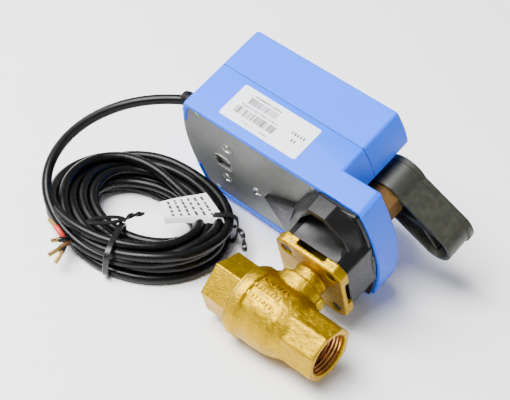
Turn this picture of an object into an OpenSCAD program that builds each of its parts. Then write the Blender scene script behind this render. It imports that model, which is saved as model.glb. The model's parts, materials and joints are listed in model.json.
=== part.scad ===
// Motorised ball valve: brass valve, black mounting adapter, geared blue actuator
// with a swing handle, and a coiled lead. Everything is drawn in the device's own
// frame (X along the pipe, Z up the stem from the plate face, Y away from the label
// side), and seat() then lays it on its side: the adapter and the valve touch Z = 0.

/* [Housing] */
// Width of the housing
case_w = 69; // [67:0.5:70]
// Reach of the cable end from the stem
cable_end = 100.5; // [99:0.5:103]
// Reach of the handle end from the stem
handle_end = 20; // [19.5:0.5:21]
// How far each end bows out
end_bow = 6.8; // [5:0.2:8]
// Height of the tall part over the plate face
tall_h = 53; // [52:0.5:56]
// Height of the parting line
part_h = 28; // [27:0.5:30]
// Height of the shelf under the handle
shelf_h = 14; // [14:0.2:15]
// Wall thickness
wall = 2.6; // [2.2:0.1:3]

/* [Handle] */
// Reach of the handle from the stem
handle_reach = 42; // [36:1:46]
// Width of the handle's arm
handle_w = 20.5; // [18:0.5:21]
// Underside of the handle over the plate face
handle_low = 30; // [29:0.5:32]
// Top of the handle over the plate face
handle_top = 47; // [46:0.5:50]
// Angle of the handle from the pipe axis at rest
handle_turn = 32; // [-45:1:45]
// Handle angle at which the ball is fully open
open_turn = 45; // [40:1:50]

/* [Valve] */
// Distance from the plate face down to the pipe axis
pipe_drop = 48.8; // [48.8:0.1:50]
// Length between the two port faces
valve_len = 64; // [62:1:66]
// Width across the flats of the pipe ends
flats = 26; // [25:0.5:28]
// Radius of the ball
ball_r = 12; // [11.8:0.1:12]
// Radius of the waterway
way_r = 7.5; // [6:0.5:7.8]
// Wall radius of the threaded ports
port_r = 10.45; // [10:0.05:10.6]
// Bolt-hole spacing of the square flange
hole_pitch = 25.46; // [25:0.1:26]
// Side of the square flange
flange_w = 38; // [37:0.5:40]

/* [Lead] */
// Diameter of the lead
lead_d = 5; // [4.6:0.1:5.2]
// Height of the coil
coil_h = 17; // [15:0.5:17]

/* [Hidden] */
$fn = 64;

half_w = case_w / 2;
end_r = (half_w * half_w + end_bow * end_bow) / (2 * end_bow);
corner_r = 3;
tall_x = -8;
cusp_x = -3.2;
pocket_r = 15.9;
face_r = 45;
plate_low = 0.6;
plate_t = 1.6;
plate_high = plate_low + plate_t;
tab_half = 18;
lid_t = 2.8;

valve_half = valve_len / 2;
pad_top = -18.3;
pad_low = -21;
flange_low = -23.6;
rim_low = -2;
ring_low = -11;
adapter_half = 34.4;

journal_r = 9;
fit_gap = 0.05;
stem_r = 5.5;
drive = 8;
collar_low = shelf_h + 0.3;

gear_line = 171.1;
reach_c = 22.5;
reach_b = 39.3;
reach_a = 57;
motor_line = 206.7;
motor_reach = 19.5;
posts = [[-70.8, -14.4], [-76.8, 14.3]];
screws_at = [[-86.4, -29.4], [-86.4, 29.4], [-15, -28.8], [-15, 28.8]];
button_at = [14, 3];
button_r = 2.6;
hub_r = 10.9;

ring_r = 17.8;
tilt = atan2(adapter_half, pipe_drop + ring_low)
    - asin(ring_r / norm([adapter_half, pipe_drop + ring_low]));
rise = adapter_half * cos(tilt) - ring_low * sin(tilt);
// Shift that puts the middle of the device, without its lead, over the origin
shift = [32.2, 0.5];

coil_at = [-100, -30];
coil_out = [50, 37, 45];
hole_at = [-95, -30];
hole_out = [27, 17, 20];
grommet_r = 3.3;
lead_route = [[-97, -5, 63.5], [-101, -5.3, 63.8], [-105, -8.2, 63.8], [-110.5, -14, 62.6],
    [-118, -20.8, 59.4], [-126.5, -28, 54.6], [-134, -34.6, 47.6], [-140, -41.5, 39],
    [-142.8, -48.5, 31], [-141.5, -55, 24.6], [-137, -61, 19.6], [-131, -65.5, 16]];

function arc(c, r, a, b, n) =
    [for (i = [0 : n]) let (t = a + (b - a) * i / n) [c.x + r * cos(t), c.y + r * sin(t)]];
function flip_x(pts) = [for (p = pts) [-p.x, -p.y]];
function flip_y(pts) = [for (i = [len(pts) - 1 : -1 : 0]) [pts[i].x, -pts[i].y]];
function along(turn, reach) = [reach * cos(turn), reach * sin(turn)];

// A bowed end, from its lower corner to its upper one, reaching out to x = reach
function bowed_end(reach, inset) =
    let (r = end_r - inset, hw = half_w - inset, q = max(corner_r - inset, 0.6),
        cx = reach - end_r, dx = sqrt(pow(r - q, 2) - pow(hw - q, 2)),
        b = asin((hw - q) / (r - q)))
    concat(arc([cx + dx, -(hw - q)], q, -90, -b, 5), arc([cx, 0], r, -b, b, 24),
        arc([cx + dx, hw - q], q, b, 90, 5));

// Outline of the whole housing, drawn in by inset
function full_outline(inset) =
    concat(bowed_end(handle_end, inset), flip_x(bowed_end(cable_end, inset)));

// End face of the tall part: a shallow bulge, then the pocket round the handle's hub
function tall_face(inset) =
    let (hw = half_w - inset, x0 = tall_x - inset, x1 = cusp_x - inset,
        pr = pocket_r + inset, y1 = sqrt(pr * pr - x1 * x1),
        d = norm([x1 - x0, hw - y1]), m = [(x0 + x1) / 2, (hw + y1) / 2],
        h = sqrt(face_r * face_r - d * d / 4),
        c = [m.x - h * (hw - y1) / d, m.y + h * (x0 - x1) / d],
        a0 = atan2(hw - c.y, x0 - c.x), a1 = atan2(y1 - c.y, x1 - c.x),
        t = atan2(y1, x1),
        upper = concat(arc([0, 0], pr, 180, t, 14), arc(c, face_r, a1, a0, 5)))
    concat(flip_y([for (i = [1 : len(upper) - 1]) upper[i]]), upper);

function tall_outline(inset) =
    concat(tall_face(inset), flip_x(bowed_end(cable_end, inset)));

// Involute gear outline with a little backlash; phase turns a tooth onto that angle
function inv(a) = tan(a) * 180 / PI - a;
function gear_outline(z, m, phase) = gear_teeth(z, m, phase, 0, z - 1);
function gear_teeth(z, m, phase, first, last) =
    let (rp = m * z / 2, rb = rp * cos(20), ra = rp + 0.85 * m, rf = rp - 1.15 * m,
        half = 90 / z - 0.05 * m / rp * 180 / PI,
        r0 = max(rb, rf + 0.01),
        flank = concat([[rf, half + inv(20)]],
            [for (k = [0 : 4]) let (r = r0 + (ra - r0) * k / 4)
                [r, half + inv(20) - inv(acos(min(1, rb / r)))]]))
    [for (i = [first : last]) let (t = phase + 360 * i / z)
        each concat([for (f = flank) [f[0] * cos(t - f[1]), f[0] * sin(t - f[1])]],
            [for (k = [5 : -1 : 0]) let (f = flank[k])
                [f[0] * cos(t + f[1]), f[0] * sin(t + f[1])]])];

// Point at turn t of an oval with a shallower back half, squared off by a power p below 1
function bulge(v, p) = sign(v) * pow(abs(v), p);
function on_oval(at, reach, p, t) =
    let (q = sin(t) > 0 ? p : 1)
    at + [reach[0] * bulge(cos(t), q), (sin(t) > 0 ? reach[1] : reach[2]) * bulge(sin(t), q)];
function oval(at, reach, p, n) = [for (i = [0 : n - 1]) on_oval(at, reach, p, 360 * i / n)];

// Round tube of n sides swept along a route
function unit(v) = v / norm(v);
function heading(p, i) = unit(p[min(i + 1, len(p) - 1)] - p[max(i - 1, 0)]);
module tube(p, r, n) {
    pts = [for (i = [0 : len(p) - 1])
        let (t = heading(p, i), s = unit(cross(t, [0.31, 0.2, 1])), u = cross(s, t))
        each [for (k = [0 : n - 1])
            p[i] + r * (cos(360 * k / n) * s + sin(360 * k / n) * u)]];
    last = (len(p) - 1) * n;
    faces = concat([[for (k = [0 : n - 1]) k]],
        [for (i = [0 : len(p) - 2], k = [0 : n - 1]) let (a = i * n + k, b = i * n + (k + 1) % n)
            each [[a, a + n, b], [b, a + n, b + n]]],
        [[for (k = [n - 1 : -1 : 0]) last + k]]);
    polyhedron(pts, faces);
}

// Lays the upright device on its side, adapter and valve on Z = 0
module seat() {
    translate([shift.x, shift.y, rise]) rotate([tilt - 90, 0, 0]) children();
}
// Places what is already drawn lying on the table beside the device
module lay() {
    translate([shift.x, shift.y, 0]) children();
}
// Turns a piece of the valve so that its own Z runs along the pipe
module on_pipe() {
    translate([0, 0, -pipe_drop]) rotate([0, 90, 0]) children();
}
// Turns a piece with the stem
module turned(angle) {
    rotate([0, 0, angle]) children();
}

/* ---- valve ---- */

module barrel_profile() {
    rotate_extrude() polygon([[0, -15], [ring_r, -15], [ring_r, -10.5], [16.6, -9.5],
        [16.8, -3], [16.6, 3], [15.8, 8], [14.4, 12], [13.2, 15], [0, 15]]);
}

module square_flange() {
    difference() {
        union() {
            intersection() {
                translate([-flange_w / 2, -flange_w / 2, flange_low])
                    cube([flange_w, flange_w, pad_low - flange_low]);
                translate([0, 0, flange_low]) cylinder(r = 24, h = 10);
            }
            for (x = [-1, 1], y = [-1, 1])
                intersection() {
                    translate([x * 13.5 - 5.5, y * 13.5 - 5.5, flange_low])
                        cube([11, 11, pad_top - flange_low]);
                    translate([0, 0, flange_low]) cylinder(r = 24, h = 10);
                }
        }
        for (x = [-1, 1], y = [-1, 1])
            translate([x * hole_pitch / 2, y * hole_pitch / 2, flange_low - 1])
                cylinder(r = 2.9, h = 8);
    }
}

module valve_body() {
    color("goldenrod") difference() {
        union() {
            on_pipe() barrel_profile();
            on_pipe() translate([0, 0, 12])
                cylinder(r = flats / 2 / cos(22.5), h = valve_half - 12, $fn = 8);
            translate([0, 0, -pipe_drop]) cylinder(r = 12, h = 19.3);
            translate([0, 0, -pipe_drop]) cylinder(r = 8.4, h = pipe_drop + flange_low + 0.5);
            for (x = [-1, 1]) translate([x * 11.5 - 2, -3, -34.5]) cube([4, 6, 4.5]);
            square_flange();
        }
        on_pipe() translate([0, 0, -16]) cylinder(r = 12.6, h = 27.6);
        on_pipe() translate([0, 0, 11]) cylinder(r = 7.8, h = 8);
        on_pipe() translate([0, 0, 17]) cylinder(r = port_r, h = valve_half);
        translate([0, 0, -pipe_drop]) cylinder(r = 7, h = 13.3);
        translate([0, 0, -pipe_drop]) cylinder(r = stem_r + fit_gap, h = 40);
    }
}

module end_connector() {
    color("gold") on_pipe() difference() {
        union() {
            translate([0, 0, -valve_half]) rotate(180 / 6)
                cylinder(r = flats / 2 / cos(30), h = valve_half - 15.2, $fn = 6);
            translate([0, 0, -16.4]) cylinder(r = 12.5, h = 4.8);
            translate([0, 0, -16.4]) cylinder(r = 14.6, h = 1.2);
        }
        translate([0, 0, -valve_half - 1]) cylinder(r = port_r, h = 16);
        translate([0, 0, -18]) cylinder(r = 7.8, h = 8);
    }
}

module connector_seal() {
    color("ivory") on_pipe() translate([0, 0, -15.2]) difference() {
        cylinder(r = 17, h = 0.2);
        translate([0, 0, -1]) cylinder(r = 14.7, h = 3);
    }
}

module valve_ball() {
    color("silver") translate([0, 0, -pipe_drop]) turned(handle_turn - open_turn) difference() {
        sphere(r = ball_r);
        rotate([0, 90, 0]) cylinder(r = way_r, h = 30, center = true);
        translate([-15, -2.6, ball_r - 3.6]) cube([30, 5.2, 6]);
        translate([-15, -15, ball_r - 1.7]) cube([30, 30, 6]);
    }
}

module ball_seat() {
    difference() {
        cylinder(r = 12.4, h = 3.1);
        translate([0, 0, -1]) cylinder(r = 7.9, h = 6);
        translate([0, 0, -8.4]) sphere(r = ball_r + 0.3);
    }
}

module seat_outlet() {
    color("white") on_pipe() translate([0, 0, 8.4]) ball_seat();
}

module seat_inlet() {
    color("white") on_pipe() translate([0, 0, -8.4]) mirror([0, 0, 1]) ball_seat();
}

module valve_stem() {
    color("burlywood") turned(handle_turn - open_turn) difference() {
        union() {
            translate([0, 0, -pipe_drop + ball_r + 0.2]) cylinder(r = 5.4, h = 2);
            translate([-4.5, -2.4, -pipe_drop + ball_r - 3.3]) cube([9, 4.8, 3.6]);
            translate([0, 0, -38.3]) cylinder(r = 6.95, h = 1.8);
            translate([0, 0, -36.6]) cylinder(r = stem_r, h = 19.8);
            intersection() {
                translate([-drive / 2, -drive / 2, -17.5]) cube([drive, drive, 11.5]);
                translate([0, 0, -17.5]) cylinder(r = stem_r, h = 11.5);
            }
        }
        for (z = [-32.5, -29]) translate([0, 0, z]) rotate_extrude()
            translate([4.2, -0.75]) square([2, 1.5]);
    }
}

module thrust_washer() {
    color("white") translate([0, 0, -36.45]) difference() {
        cylinder(r = 7, h = 0.95);
        translate([0, 0, -1]) cylinder(r = stem_r + 0.35, h = 3);
    }
}

module stem_seals() {
    color("black") for (z = [-32.5, -29]) translate([0, 0, z]) rotate_extrude($fn = 48)
        translate([4.85, 0]) circle(r = 0.65, $fn = 24);
}

module gland_nut() {
    color("darkgoldenrod") translate([0, 0, flange_low + 2.6]) difference() {
        cylinder(r = 9, h = 3.4, $fn = 6);
        translate([0, 0, -1]) cylinder(r = stem_r + 0.4, h = 6);
    }
}

/* ---- mounting adapter ---- */

function both(pts) = concat(pts, flip_y([for (i = [1 : len(pts) - 2]) pts[i]]));
rear_outline = both([[17.5, 0], [16.6, 12], [12.5, 27.5], [2, adapter_half],
    [-8, adapter_half], [-18.5, 24], [-26, 11], [-28, 0]]);
front_outline = both([[15, 0], [14.5, 11.5], [11, 25.5], [2, adapter_half],
    [-7.5, adapter_half], [-16.5, 23.5], [-22.5, 10], [-24, 0]]);
well_outline = both([[12, 0], [11.5, 10], [8.5, 22.5], [1, 31],
    [-6, 31], [-13.5, 21.5], [-19.5, 9], [-21, 0]]);
tongue = [[-47.5, 1.5], [-26, -8], [-24, 26], [-34, 27]];

module mounting_adapter() {
    color("dimgray") difference() {
        union() {
            difference() {
                hull() {
                    translate([0, 0, rim_low - 0.2]) linear_extrude(0.2) polygon(rear_outline);
                    translate([0, 0, ring_low]) linear_extrude(0.2) polygon(front_outline);
                }
                translate([0, 0, ring_low - 1]) linear_extrude(8) polygon(well_outline);
            }
            intersection() {
                translate([0, 0, rim_low]) linear_extrude(-rim_low) polygon(full_outline(1.6));
                translate([0, 0, rim_low]) linear_extrude(-rim_low)
                    polygon(both([[18.4, 0], [18, 20], [16, 34.3], [-8, 34.3],
                        [-18.5, 24], [-26, 11], [-28, 0]]));
            }
            translate([0, 0, -3]) linear_extrude(3) polygon(tongue);
            intersection() {
                translate([-18, -18, pad_top]) cube([36, 36, -pad_top - 1]);
                translate([0, 0, pad_top]) cylinder(r = 22, h = 18);
            }
            for (x = [-1, 1], y = [-1, 1])
                translate([x * hole_pitch / 2, y * hole_pitch / 2, flange_low + 0.6])
                    cylinder(r = 2.85, h = 6);
        }
        translate([0, 0, pad_top - 1]) cylinder(r = journal_r + 0.6, h = 30);
        for (y = [-1, 1]) translate([-2, y * 28, rim_low - 3]) cylinder(r = 1.7, h = 10);
    }
}

module adapter_screws() {
    color("silver") for (y = [-1, 1]) translate([-2, y * 28, 0]) {
        translate([0, 0, -6.2]) cylinder(r = 2.8, h = 2.2);
        translate([0, 0, -6.2]) cylinder(r = 1.6, h = 12);
    }
}

/* ---- actuator housing ---- */

module plate_rivets() {
    color("gainsboro") for (p = [posts[0], posts[1], along(gear_line, reach_a)])
        translate([p.x, p.y, 0.2]) cylinder(r = 2.6, h = 0.4);
}

module base_plate() {
    color("gray") difference() {
        union() {
            translate([0, 0, plate_low]) linear_extrude(plate_t) polygon(full_outline(wall + 0.15));
            intersection() {
                translate([0, 0, plate_low]) linear_extrude(plate_t) polygon(full_outline(0.2));
                translate([-cable_end - 1, -tab_half, 0]) cube([20, 2 * tab_half, 5]);
            }
        }
        translate([0, 0, -1]) cylinder(r = 11.2, h = 5);
        translate([-80.7, -3.8, -1]) cube([9, 9, 5]);
        for (p = screws_at) translate([p.x, p.y, -1]) cylinder(r = 1.55, h = 5);
        for (y = [-1, 1]) translate([-2, y * 28, -1]) cylinder(r = 1.65, h = 5);
    }
}

module screw_tubes(r, low, high) {
    for (p = screws_at) translate([p.x, p.y, low]) cylinder(r = r, h = high - low);
}

module housing_case() {
    color("dodgerblue") difference() {
        union() {
            difference() {
                union() {
                    linear_extrude(shelf_h) polygon(full_outline(0));
                    linear_extrude(part_h) polygon(tall_outline(0));
                }
                translate([0, 0, -1]) linear_extrude(shelf_h - wall + 1)
                    polygon(full_outline(wall));
                translate([0, 0, -1]) linear_extrude(part_h + 2) polygon(tall_outline(wall));
            }
            intersection() {
                screw_tubes(3.6, plate_high, part_h);
                linear_extrude(part_h) polygon(full_outline(1));
            }
            for (y = [-1, 1]) translate([-2, y * 28, plate_high])
                cylinder(r = 3, h = shelf_h - 1 - plate_high);
        }
        screw_tubes(1.7, 0, part_h + 1);
        for (y = [-1, 1]) translate([-2, y * 28, 0]) cylinder(r = 1.6, h = 6);
        translate([0, 0, shelf_h - wall - 1]) cylinder(r = 11, h = 6);
        translate([button_at.x, button_at.y, shelf_h - wall - 1]) cylinder(r = button_r + 0.08, h = 6);
        translate([-cable_end - 1, -tab_half - 0.2, -1])
            cube([16, 2 * tab_half + 0.4, plate_high + 1]);
        grommet_axis() translate([0, 0, -4.2]) cylinder(r = grommet_r, h = 14);
    }
}

module housing_cover() {
    color("cornflowerblue") difference() {
        union() {
            difference() {
                translate([0, 0, part_h]) linear_extrude(tall_h - part_h)
                    polygon(tall_outline(0));
                translate([0, 0, part_h - 1]) linear_extrude(tall_h - part_h - lid_t + 1)
                    polygon(tall_outline(wall));
            }
            translate([0, 0, part_h - 2]) linear_extrude(6) difference() {
                polygon(tall_outline(wall + 0.2));
                polygon(tall_outline(wall + 1.4));
            }
            intersection() {
                screw_tubes(3.6, part_h, tall_h - 1);
                linear_extrude(tall_h) polygon(tall_outline(1));
            }
        }
        screw_tubes(1.7, part_h - 3, tall_h + 1);
        screw_tubes(4, part_h - 3, part_h);
        screw_tubes(3.1, tall_h - 2.2, tall_h + 1);
    }
}

module cover_screws() {
    color("silver") for (p = screws_at) translate([p.x, p.y, 0]) {
        translate([0, 0, plate_low]) cylinder(r = 1.5, h = tall_h - 3 - plate_low);
        translate([0, 0, tall_h - 2.2]) cylinder(r = 2.8, h = 1.8);
        translate([0, 0, tall_h - 3.2]) cylinder(r = 1.5, h = 1.2);
    }
}

/* ---- output drive ---- */

module bush(r, low, h) {
    translate([0, 0, low]) difference() {
        cylinder(r = r, h = h);
        translate([0, 0, -1]) cylinder(r = journal_r + fit_gap, h = h + 2);
    }
}

module lower_bush() {
    color("whitesmoke") bush(11.2, plate_low, plate_t);
}

module upper_bush() {
    color("whitesmoke") bush(11, shelf_h - wall, wall);
}

module output_coupler() {
    color("peru") turned(handle_turn) difference() {
        union() {
            translate([0, 0, -16.4]) cylinder(r = journal_r, h = 16.4 + collar_low);
            translate([0, 0, collar_low]) rotate(22.5)
                cylinder(r = 9.6, h = handle_low - collar_low, $fn = 8);
            translate([-4.9, -4.9, handle_low - 1]) cube([9.8, 9.8, 12]);
        }
        rotate(-open_turn) translate([-drive / 2 - 0.1, -drive / 2 - 0.1, -17])
            cube([drive + 0.2, drive + 0.2, 12]);
        translate([0, 0, handle_low]) cylinder(r = 2, h = 14);
    }
}

// Toothed sector: only the arc that meets the train over the quarter turn
module output_gear() {
    color("whitesmoke") translate([0, 0, 5.4]) linear_extrude(5) difference() {
        polygon(concat(gear_teeth(30, 1, gear_line, -3, 8),
            arc([0, 0], hub_r, gear_line + 102, gear_line + 318, 24)));
        circle(r = journal_r);
    }
}

module compound_gear(z1, m1, phase1, low1, h1, z2, m2, phase2, low2, h2) {
    difference() {
        union() {
            translate([0, 0, low1]) linear_extrude(h1) polygon(gear_outline(z1, m1, phase1));
            translate([0, 0, low2]) linear_extrude(h2) polygon(gear_outline(z2, m2, phase2));
        }
        translate([0, 0, -1]) cylinder(r = 1.55, h = 40);
    }
}

module gear_c() {
    color("antiquewhite") translate(along(gear_line, reach_c))
        compound_gear(30, 0.8, gear_line, 2.6, 2.4, 15, 1, gear_line + 180 / 15 + 180, 5, 5.4);
}

module gear_b() {
    color("ivory") translate(along(gear_line, reach_b))
        compound_gear(12, 0.8, gear_line + 180 + 180 / 12, 2.6, 8.2, 45, 0.6, gear_line, 10.8, 2);
}

module gear_a() {
    color("antiquewhite") translate(along(gear_line, reach_a))
        compound_gear(14, 0.6, gear_line + 180 + 180 / 14, 10.7, 2.5, 64, 0.5, motor_line, 13.2, 1.8);
}

module gear_axles() {
    color("silver") {
        for (g = [[reach_c, 2.5, 10.2], [reach_b, 2.5, 13.1], [reach_a, 10.6, 15.6]])
            translate(along(gear_line, g[0])) translate([0, 0, plate_high]) {
                cylinder(r = 1.5, h = g[2] - plate_high);
                cylinder(r = 2.4, h = g[1] - plate_high);
            }
    }
}

motor_at = along(gear_line, reach_a) + along(motor_line, motor_reach);

module motor_body() {
    color("lightsteelblue") {
        translate([motor_at.x, motor_at.y, 17]) cylinder(r = 12, h = 20);
        translate([motor_at.x, motor_at.y, 16]) cylinder(r = 4, h = 1);
        difference() {
            union() {
                for (p = posts) translate([p.x, p.y, 17]) cylinder(r = 3.4, h = 1);
                translate([motor_at.x, motor_at.y, 17]) cylinder(r = 13.2, h = 1);
            }
            for (p = posts) translate([p.x, p.y, 16]) cylinder(r = 1.6, h = 3);
        }
    }
}

module motor_posts() {
    color("silver") for (p = posts) translate([p.x, p.y, plate_high]) {
        cylinder(r = 2.6, h = 17 - plate_high);
        cylinder(r = 1.5, h = 18.6 - plate_high);
        translate([0, 0, 18 - plate_high]) cylinder(r = 2.4, h = 1.4);
    }
}

module motor_pinion() {
    color("khaki") translate([motor_at.x, motor_at.y, 0]) {
        translate([0, 0, 13]) linear_extrude(2.4)
            polygon(gear_outline(14, 0.5, motor_line + 180 + 180 / 14));
        translate([0, 0, 12.4]) cylinder(r = 1, h = 3.3);
    }
}

/* ---- board ---- */

board_low = 39.6;
board_posts_at = [[-90, -20], [-90, 20], [-26, -24], [-26, 24]];

module circuit_board() {
    color("darkgreen") difference() {
        translate([-92, -28, board_low]) cube([70.5, 56, 1.6]);
        for (p = screws_at) translate([p.x, p.y, board_low - 1]) cylinder(r = 4.4, h = 4);
    }
}

module board_posts() {
    color("dodgerblue") for (p = board_posts_at) translate([p.x, p.y, board_low + 1.6])
        cylinder(r = 2, h = tall_h - lid_t - board_low - 1.6);
}

module terminal_block() {
    color("green") translate([-88, -14, board_low + 1.6]) difference() {
        cube([9, 26, 7.4]);
        for (i = [0 : 4]) translate([4.5, 3 + 5 * i, 5]) cylinder(r = 1.6, h = 4);
    }
}

module capacitor() {
    color("black") translate([-58, 14, board_low + 1.6]) cylinder(r = 5, h = 8.4);
}

module relay() {
    color("royalblue") for (x = [-66, -50]) translate([x, -16, board_low + 1.6])
        cube([13, 15, 8]);
}

/* ---- release button ---- */

module release_button() {
    color("royalblue") translate([button_at.x, button_at.y, 0]) {
        translate([0, 0, 7.4]) cylinder(r = button_r, h = 8.8);
        translate([0, 0, 9.9]) cylinder(r = button_r + 0.3, h = 1.2);
        translate([0, 0, 4.2]) cylinder(r = 1.2, h = 4);
    }
}

module button_spring() {
    color("silver") translate([button_at.x, button_at.y, plate_high]) difference() {
        cylinder(r = 2.6, h = 2);
        translate([0, 0, -1]) cylinder(r = 2, h = 6);
    }
}

/* ---- handle ---- */

module handle_plan(grow) {
    circle(r = 12 + grow);
    translate([0, -handle_w / 2 - grow]) square([handle_reach - handle_w / 2, handle_w + 2 * grow]);
    translate([handle_reach - handle_w / 2, 0]) circle(r = handle_w / 2 + grow);
}

module handle() {
    color("darkslategray") turned(handle_turn) translate([0, 0, handle_low]) difference() {
        union() {
            difference() {
                union() {
                    linear_extrude(handle_top - handle_low) handle_plan(-0.8);
                    translate([0, 0, handle_top - handle_low - 3]) linear_extrude(3) handle_plan(0);
                }
                translate([0, 0, -1]) linear_extrude(handle_top - handle_low - 1.6)
                    handle_plan(-2.8);
            }
            cylinder(r = 8.6, h = 15);
            for (a = [-24, 24]) translate([22, 0, 2]) rotate(a)
                translate([-17, -0.6, 0]) cube([31, 1.2, 12]);
        }
        translate([-5, -5, -1]) cube([10, 10, 12.2]);
        translate([0, 0, 5]) cylinder(r = 2.2, h = 20);
        translate([0, 0, handle_top - handle_low - 2.4]) cylinder(r = 4.6, h = 4);
    }
}

module handle_screw() {
    color("silver") turned(handle_turn) translate([0, 0, handle_top - 2.4]) {
        cylinder(r = 4.2, h = 1.8);
        translate([0, 0, -8]) cylinder(r = 1.95, h = 9);
    }
}

/* ---- label ---- */

module side_label() {
    color("white") translate([-75.8, -half_w - 0.15, 5.2]) cube([46.6, 0.15, 19.6]);
}

/* ---- lead ---- */

module grommet_axis() {
    translate([-96.5, -27.4, 5.6]) rotate([0, -90, 0]) children();
}

module cable_grommet() {
    color("black") grommet_axis() difference() {
        union() {
            translate([0, 0, -4]) cylinder(r = grommet_r, h = 5.4);
            translate([0, 0, 1.2]) cylinder(r1 = 4, r2 = 3.4, h = 2.4);
        }
        translate([0, 0, -8]) cylinder(r = lead_d / 2, h = 20);
    }
}

module cable_lead() {
    color("black") lay() tube(lead_route, lead_d / 2, 8);
}

module cable_coil() {
    color("black") lay() linear_extrude(coil_h) difference() {
        polygon(oval(coil_at, coil_out, 0.8, 48));
        polygon(oval(hole_at, hole_out, 1, 48));
    }
}

core_roots = [[-115.5, -71, 11], [-106.5, -73.5, 11.5], [-103.5, -73.6, 8.6], [-100.5, -73.8, 9.4]];
core_tips = [[-121.5, -74, 12.5], [-110, -79.5, 10.5], [-104, -86.5, 8], [-97.6, -87.5, 8]];

module cable_cores() {
    for (i = [0 : 3])
        color(["red", "black", "saddlebrown", "khaki"][i]) lay()
            tube([core_roots[i], (core_roots[i] * 3 + core_tips[i]) / 4 + [0, 0, 0.8],
                core_tips[i]], 0.8, 8);
}

module coil_tie(turn) {
    a = on_oval(coil_at, coil_out, 0.8, turn);
    b = on_oval(hole_at, hole_out, 1, turn);
    reach = norm(a - b) / 2 + 1.2;
    translate((a + b) / 2) rotate(atan2(a.y - b.y, a.x - b.x)) difference() {
        translate([-reach - 1, -2, 0]) cube([2 * reach + 2, 4, coil_h + 1.3]);
        translate([-reach, -3, -1]) cube([2 * reach, 6, coil_h + 1.3]);
    }
}

module coil_tie_front() {
    color("black") lay() coil_tie(291);
}

module coil_tie_back() {
    color("black") lay() coil_tie(35);
}

module cable_tag() {
    color("white") lay() translate([-88, -27, coil_h + 1.6]) rotate(-10) cube([21, 20, 0.8]);
}

seat() valve_body();
seat() end_connector();
seat() connector_seal();
seat() valve_ball();
seat() seat_inlet();
seat() seat_outlet();
seat() valve_stem();
seat() thrust_washer();
seat() stem_seals();
seat() gland_nut();
seat() mounting_adapter();
seat() adapter_screws();
seat() base_plate();
seat() plate_rivets();
seat() housing_case();
seat() housing_cover();
seat() cover_screws();
seat() lower_bush();
seat() upper_bush();
seat() output_coupler();
seat() output_gear();
seat() gear_axles();
seat() gear_c();
seat() gear_b();
seat() gear_a();
seat() motor_body();
seat() motor_posts();
seat() motor_pinion();
seat() circuit_board();
seat() terminal_block();
seat() capacitor();
seat() relay();
seat() board_posts();
seat() release_button();
seat() button_spring();
seat() handle();
seat() handle_screw();
seat() cable_grommet();
seat() side_label();
cable_lead();
cable_coil();
cable_cores();
coil_tie_front();
coil_tie_back();
cable_tag();
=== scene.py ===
import json
import math

import bmesh
import bpy
import numpy as np
from mathutils import Matrix, Vector, noise


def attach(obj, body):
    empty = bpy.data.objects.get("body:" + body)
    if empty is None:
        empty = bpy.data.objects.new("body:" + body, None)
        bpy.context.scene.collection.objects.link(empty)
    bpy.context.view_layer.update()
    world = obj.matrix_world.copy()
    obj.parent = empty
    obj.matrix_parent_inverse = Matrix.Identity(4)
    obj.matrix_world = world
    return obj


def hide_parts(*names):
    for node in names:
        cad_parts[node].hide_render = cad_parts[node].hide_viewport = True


bl_info = {
    "name": "Motorised ball valve",
    "version": (1, 0, 0),
    "blender": (4, 5, 0),
    "location": "View3D > Sidebar > Ball valve",
    "description": "Builds a brass ball valve with a geared blue actuator and a coiled lead",
    "category": "Add Mesh",
}

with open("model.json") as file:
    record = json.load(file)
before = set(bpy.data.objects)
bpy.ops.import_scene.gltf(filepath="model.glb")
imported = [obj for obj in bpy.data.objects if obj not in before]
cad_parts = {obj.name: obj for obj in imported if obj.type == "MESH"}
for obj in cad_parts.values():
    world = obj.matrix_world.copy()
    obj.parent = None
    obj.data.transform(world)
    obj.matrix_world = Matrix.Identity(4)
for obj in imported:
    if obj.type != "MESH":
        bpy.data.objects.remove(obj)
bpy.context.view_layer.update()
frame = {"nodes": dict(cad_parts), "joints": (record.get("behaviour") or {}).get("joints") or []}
NODES = frame["nodes"]

# The device's own frame: X along the pipe, Y away from the label side, Z up the stem
STEM = next(j for j in frame["joints"] if j["name"] == "handle_turn")
UP = Vector(STEM["axis"]).normalized()
VERTICAL, ALONG = Vector((0, 0, 1)), Vector((1, 0, 0))
AWAY = UP.cross(ALONG)
STEM_JOINT_UP = 0.008
PLATE = Vector(STEM["pos_m"]) - UP * STEM_JOINT_UP
SEAT = Matrix(
    (
        (ALONG.x, AWAY.x, UP.x, PLATE.x),
        (ALONG.y, AWAY.y, UP.y, PLATE.y),
        (ALONG.z, AWAY.z, UP.z, PLATE.z),
        (0, 0, 0, 1),
    )
)
MM = 0.001
LAY = Vector((0.0322, 0.0005, 0))  # where the coil's own drawing lies on the floor
PIPE = -0.0488  # height of the pipe's axis on the stem
MARK_RADIUS = 16.75  # of the barrel under its cast marks, in millimetres
PARTING = 28.0  # height of the line between case and cover, in millimetres
FLAT_ENOUGH = math.radians(1.2)  # CAD facets nearer in angle than this are one face


def seat(x, y, z):
    """Row-frame point of a device point given in millimetres."""
    return SEAT @ Vector((x * MM, y * MM, z * MM))


# ---------------------------------------------------------------- shader groups


def new_group(name, inputs, outputs):
    tree = bpy.data.node_groups.new(name, "ShaderNodeTree")
    for label, kind, value in inputs:
        socket = tree.interface.new_socket(name=label, in_out="INPUT", socket_type=kind)
        if value is not None:
            socket.default_value = value
    for label, kind in outputs:
        tree.interface.new_socket(name=label, in_out="OUTPUT", socket_type=kind)
    enter = tree.nodes.new("NodeGroupInput")
    leave = tree.nodes.new("NodeGroupOutput")
    return tree, enter, leave


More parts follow.
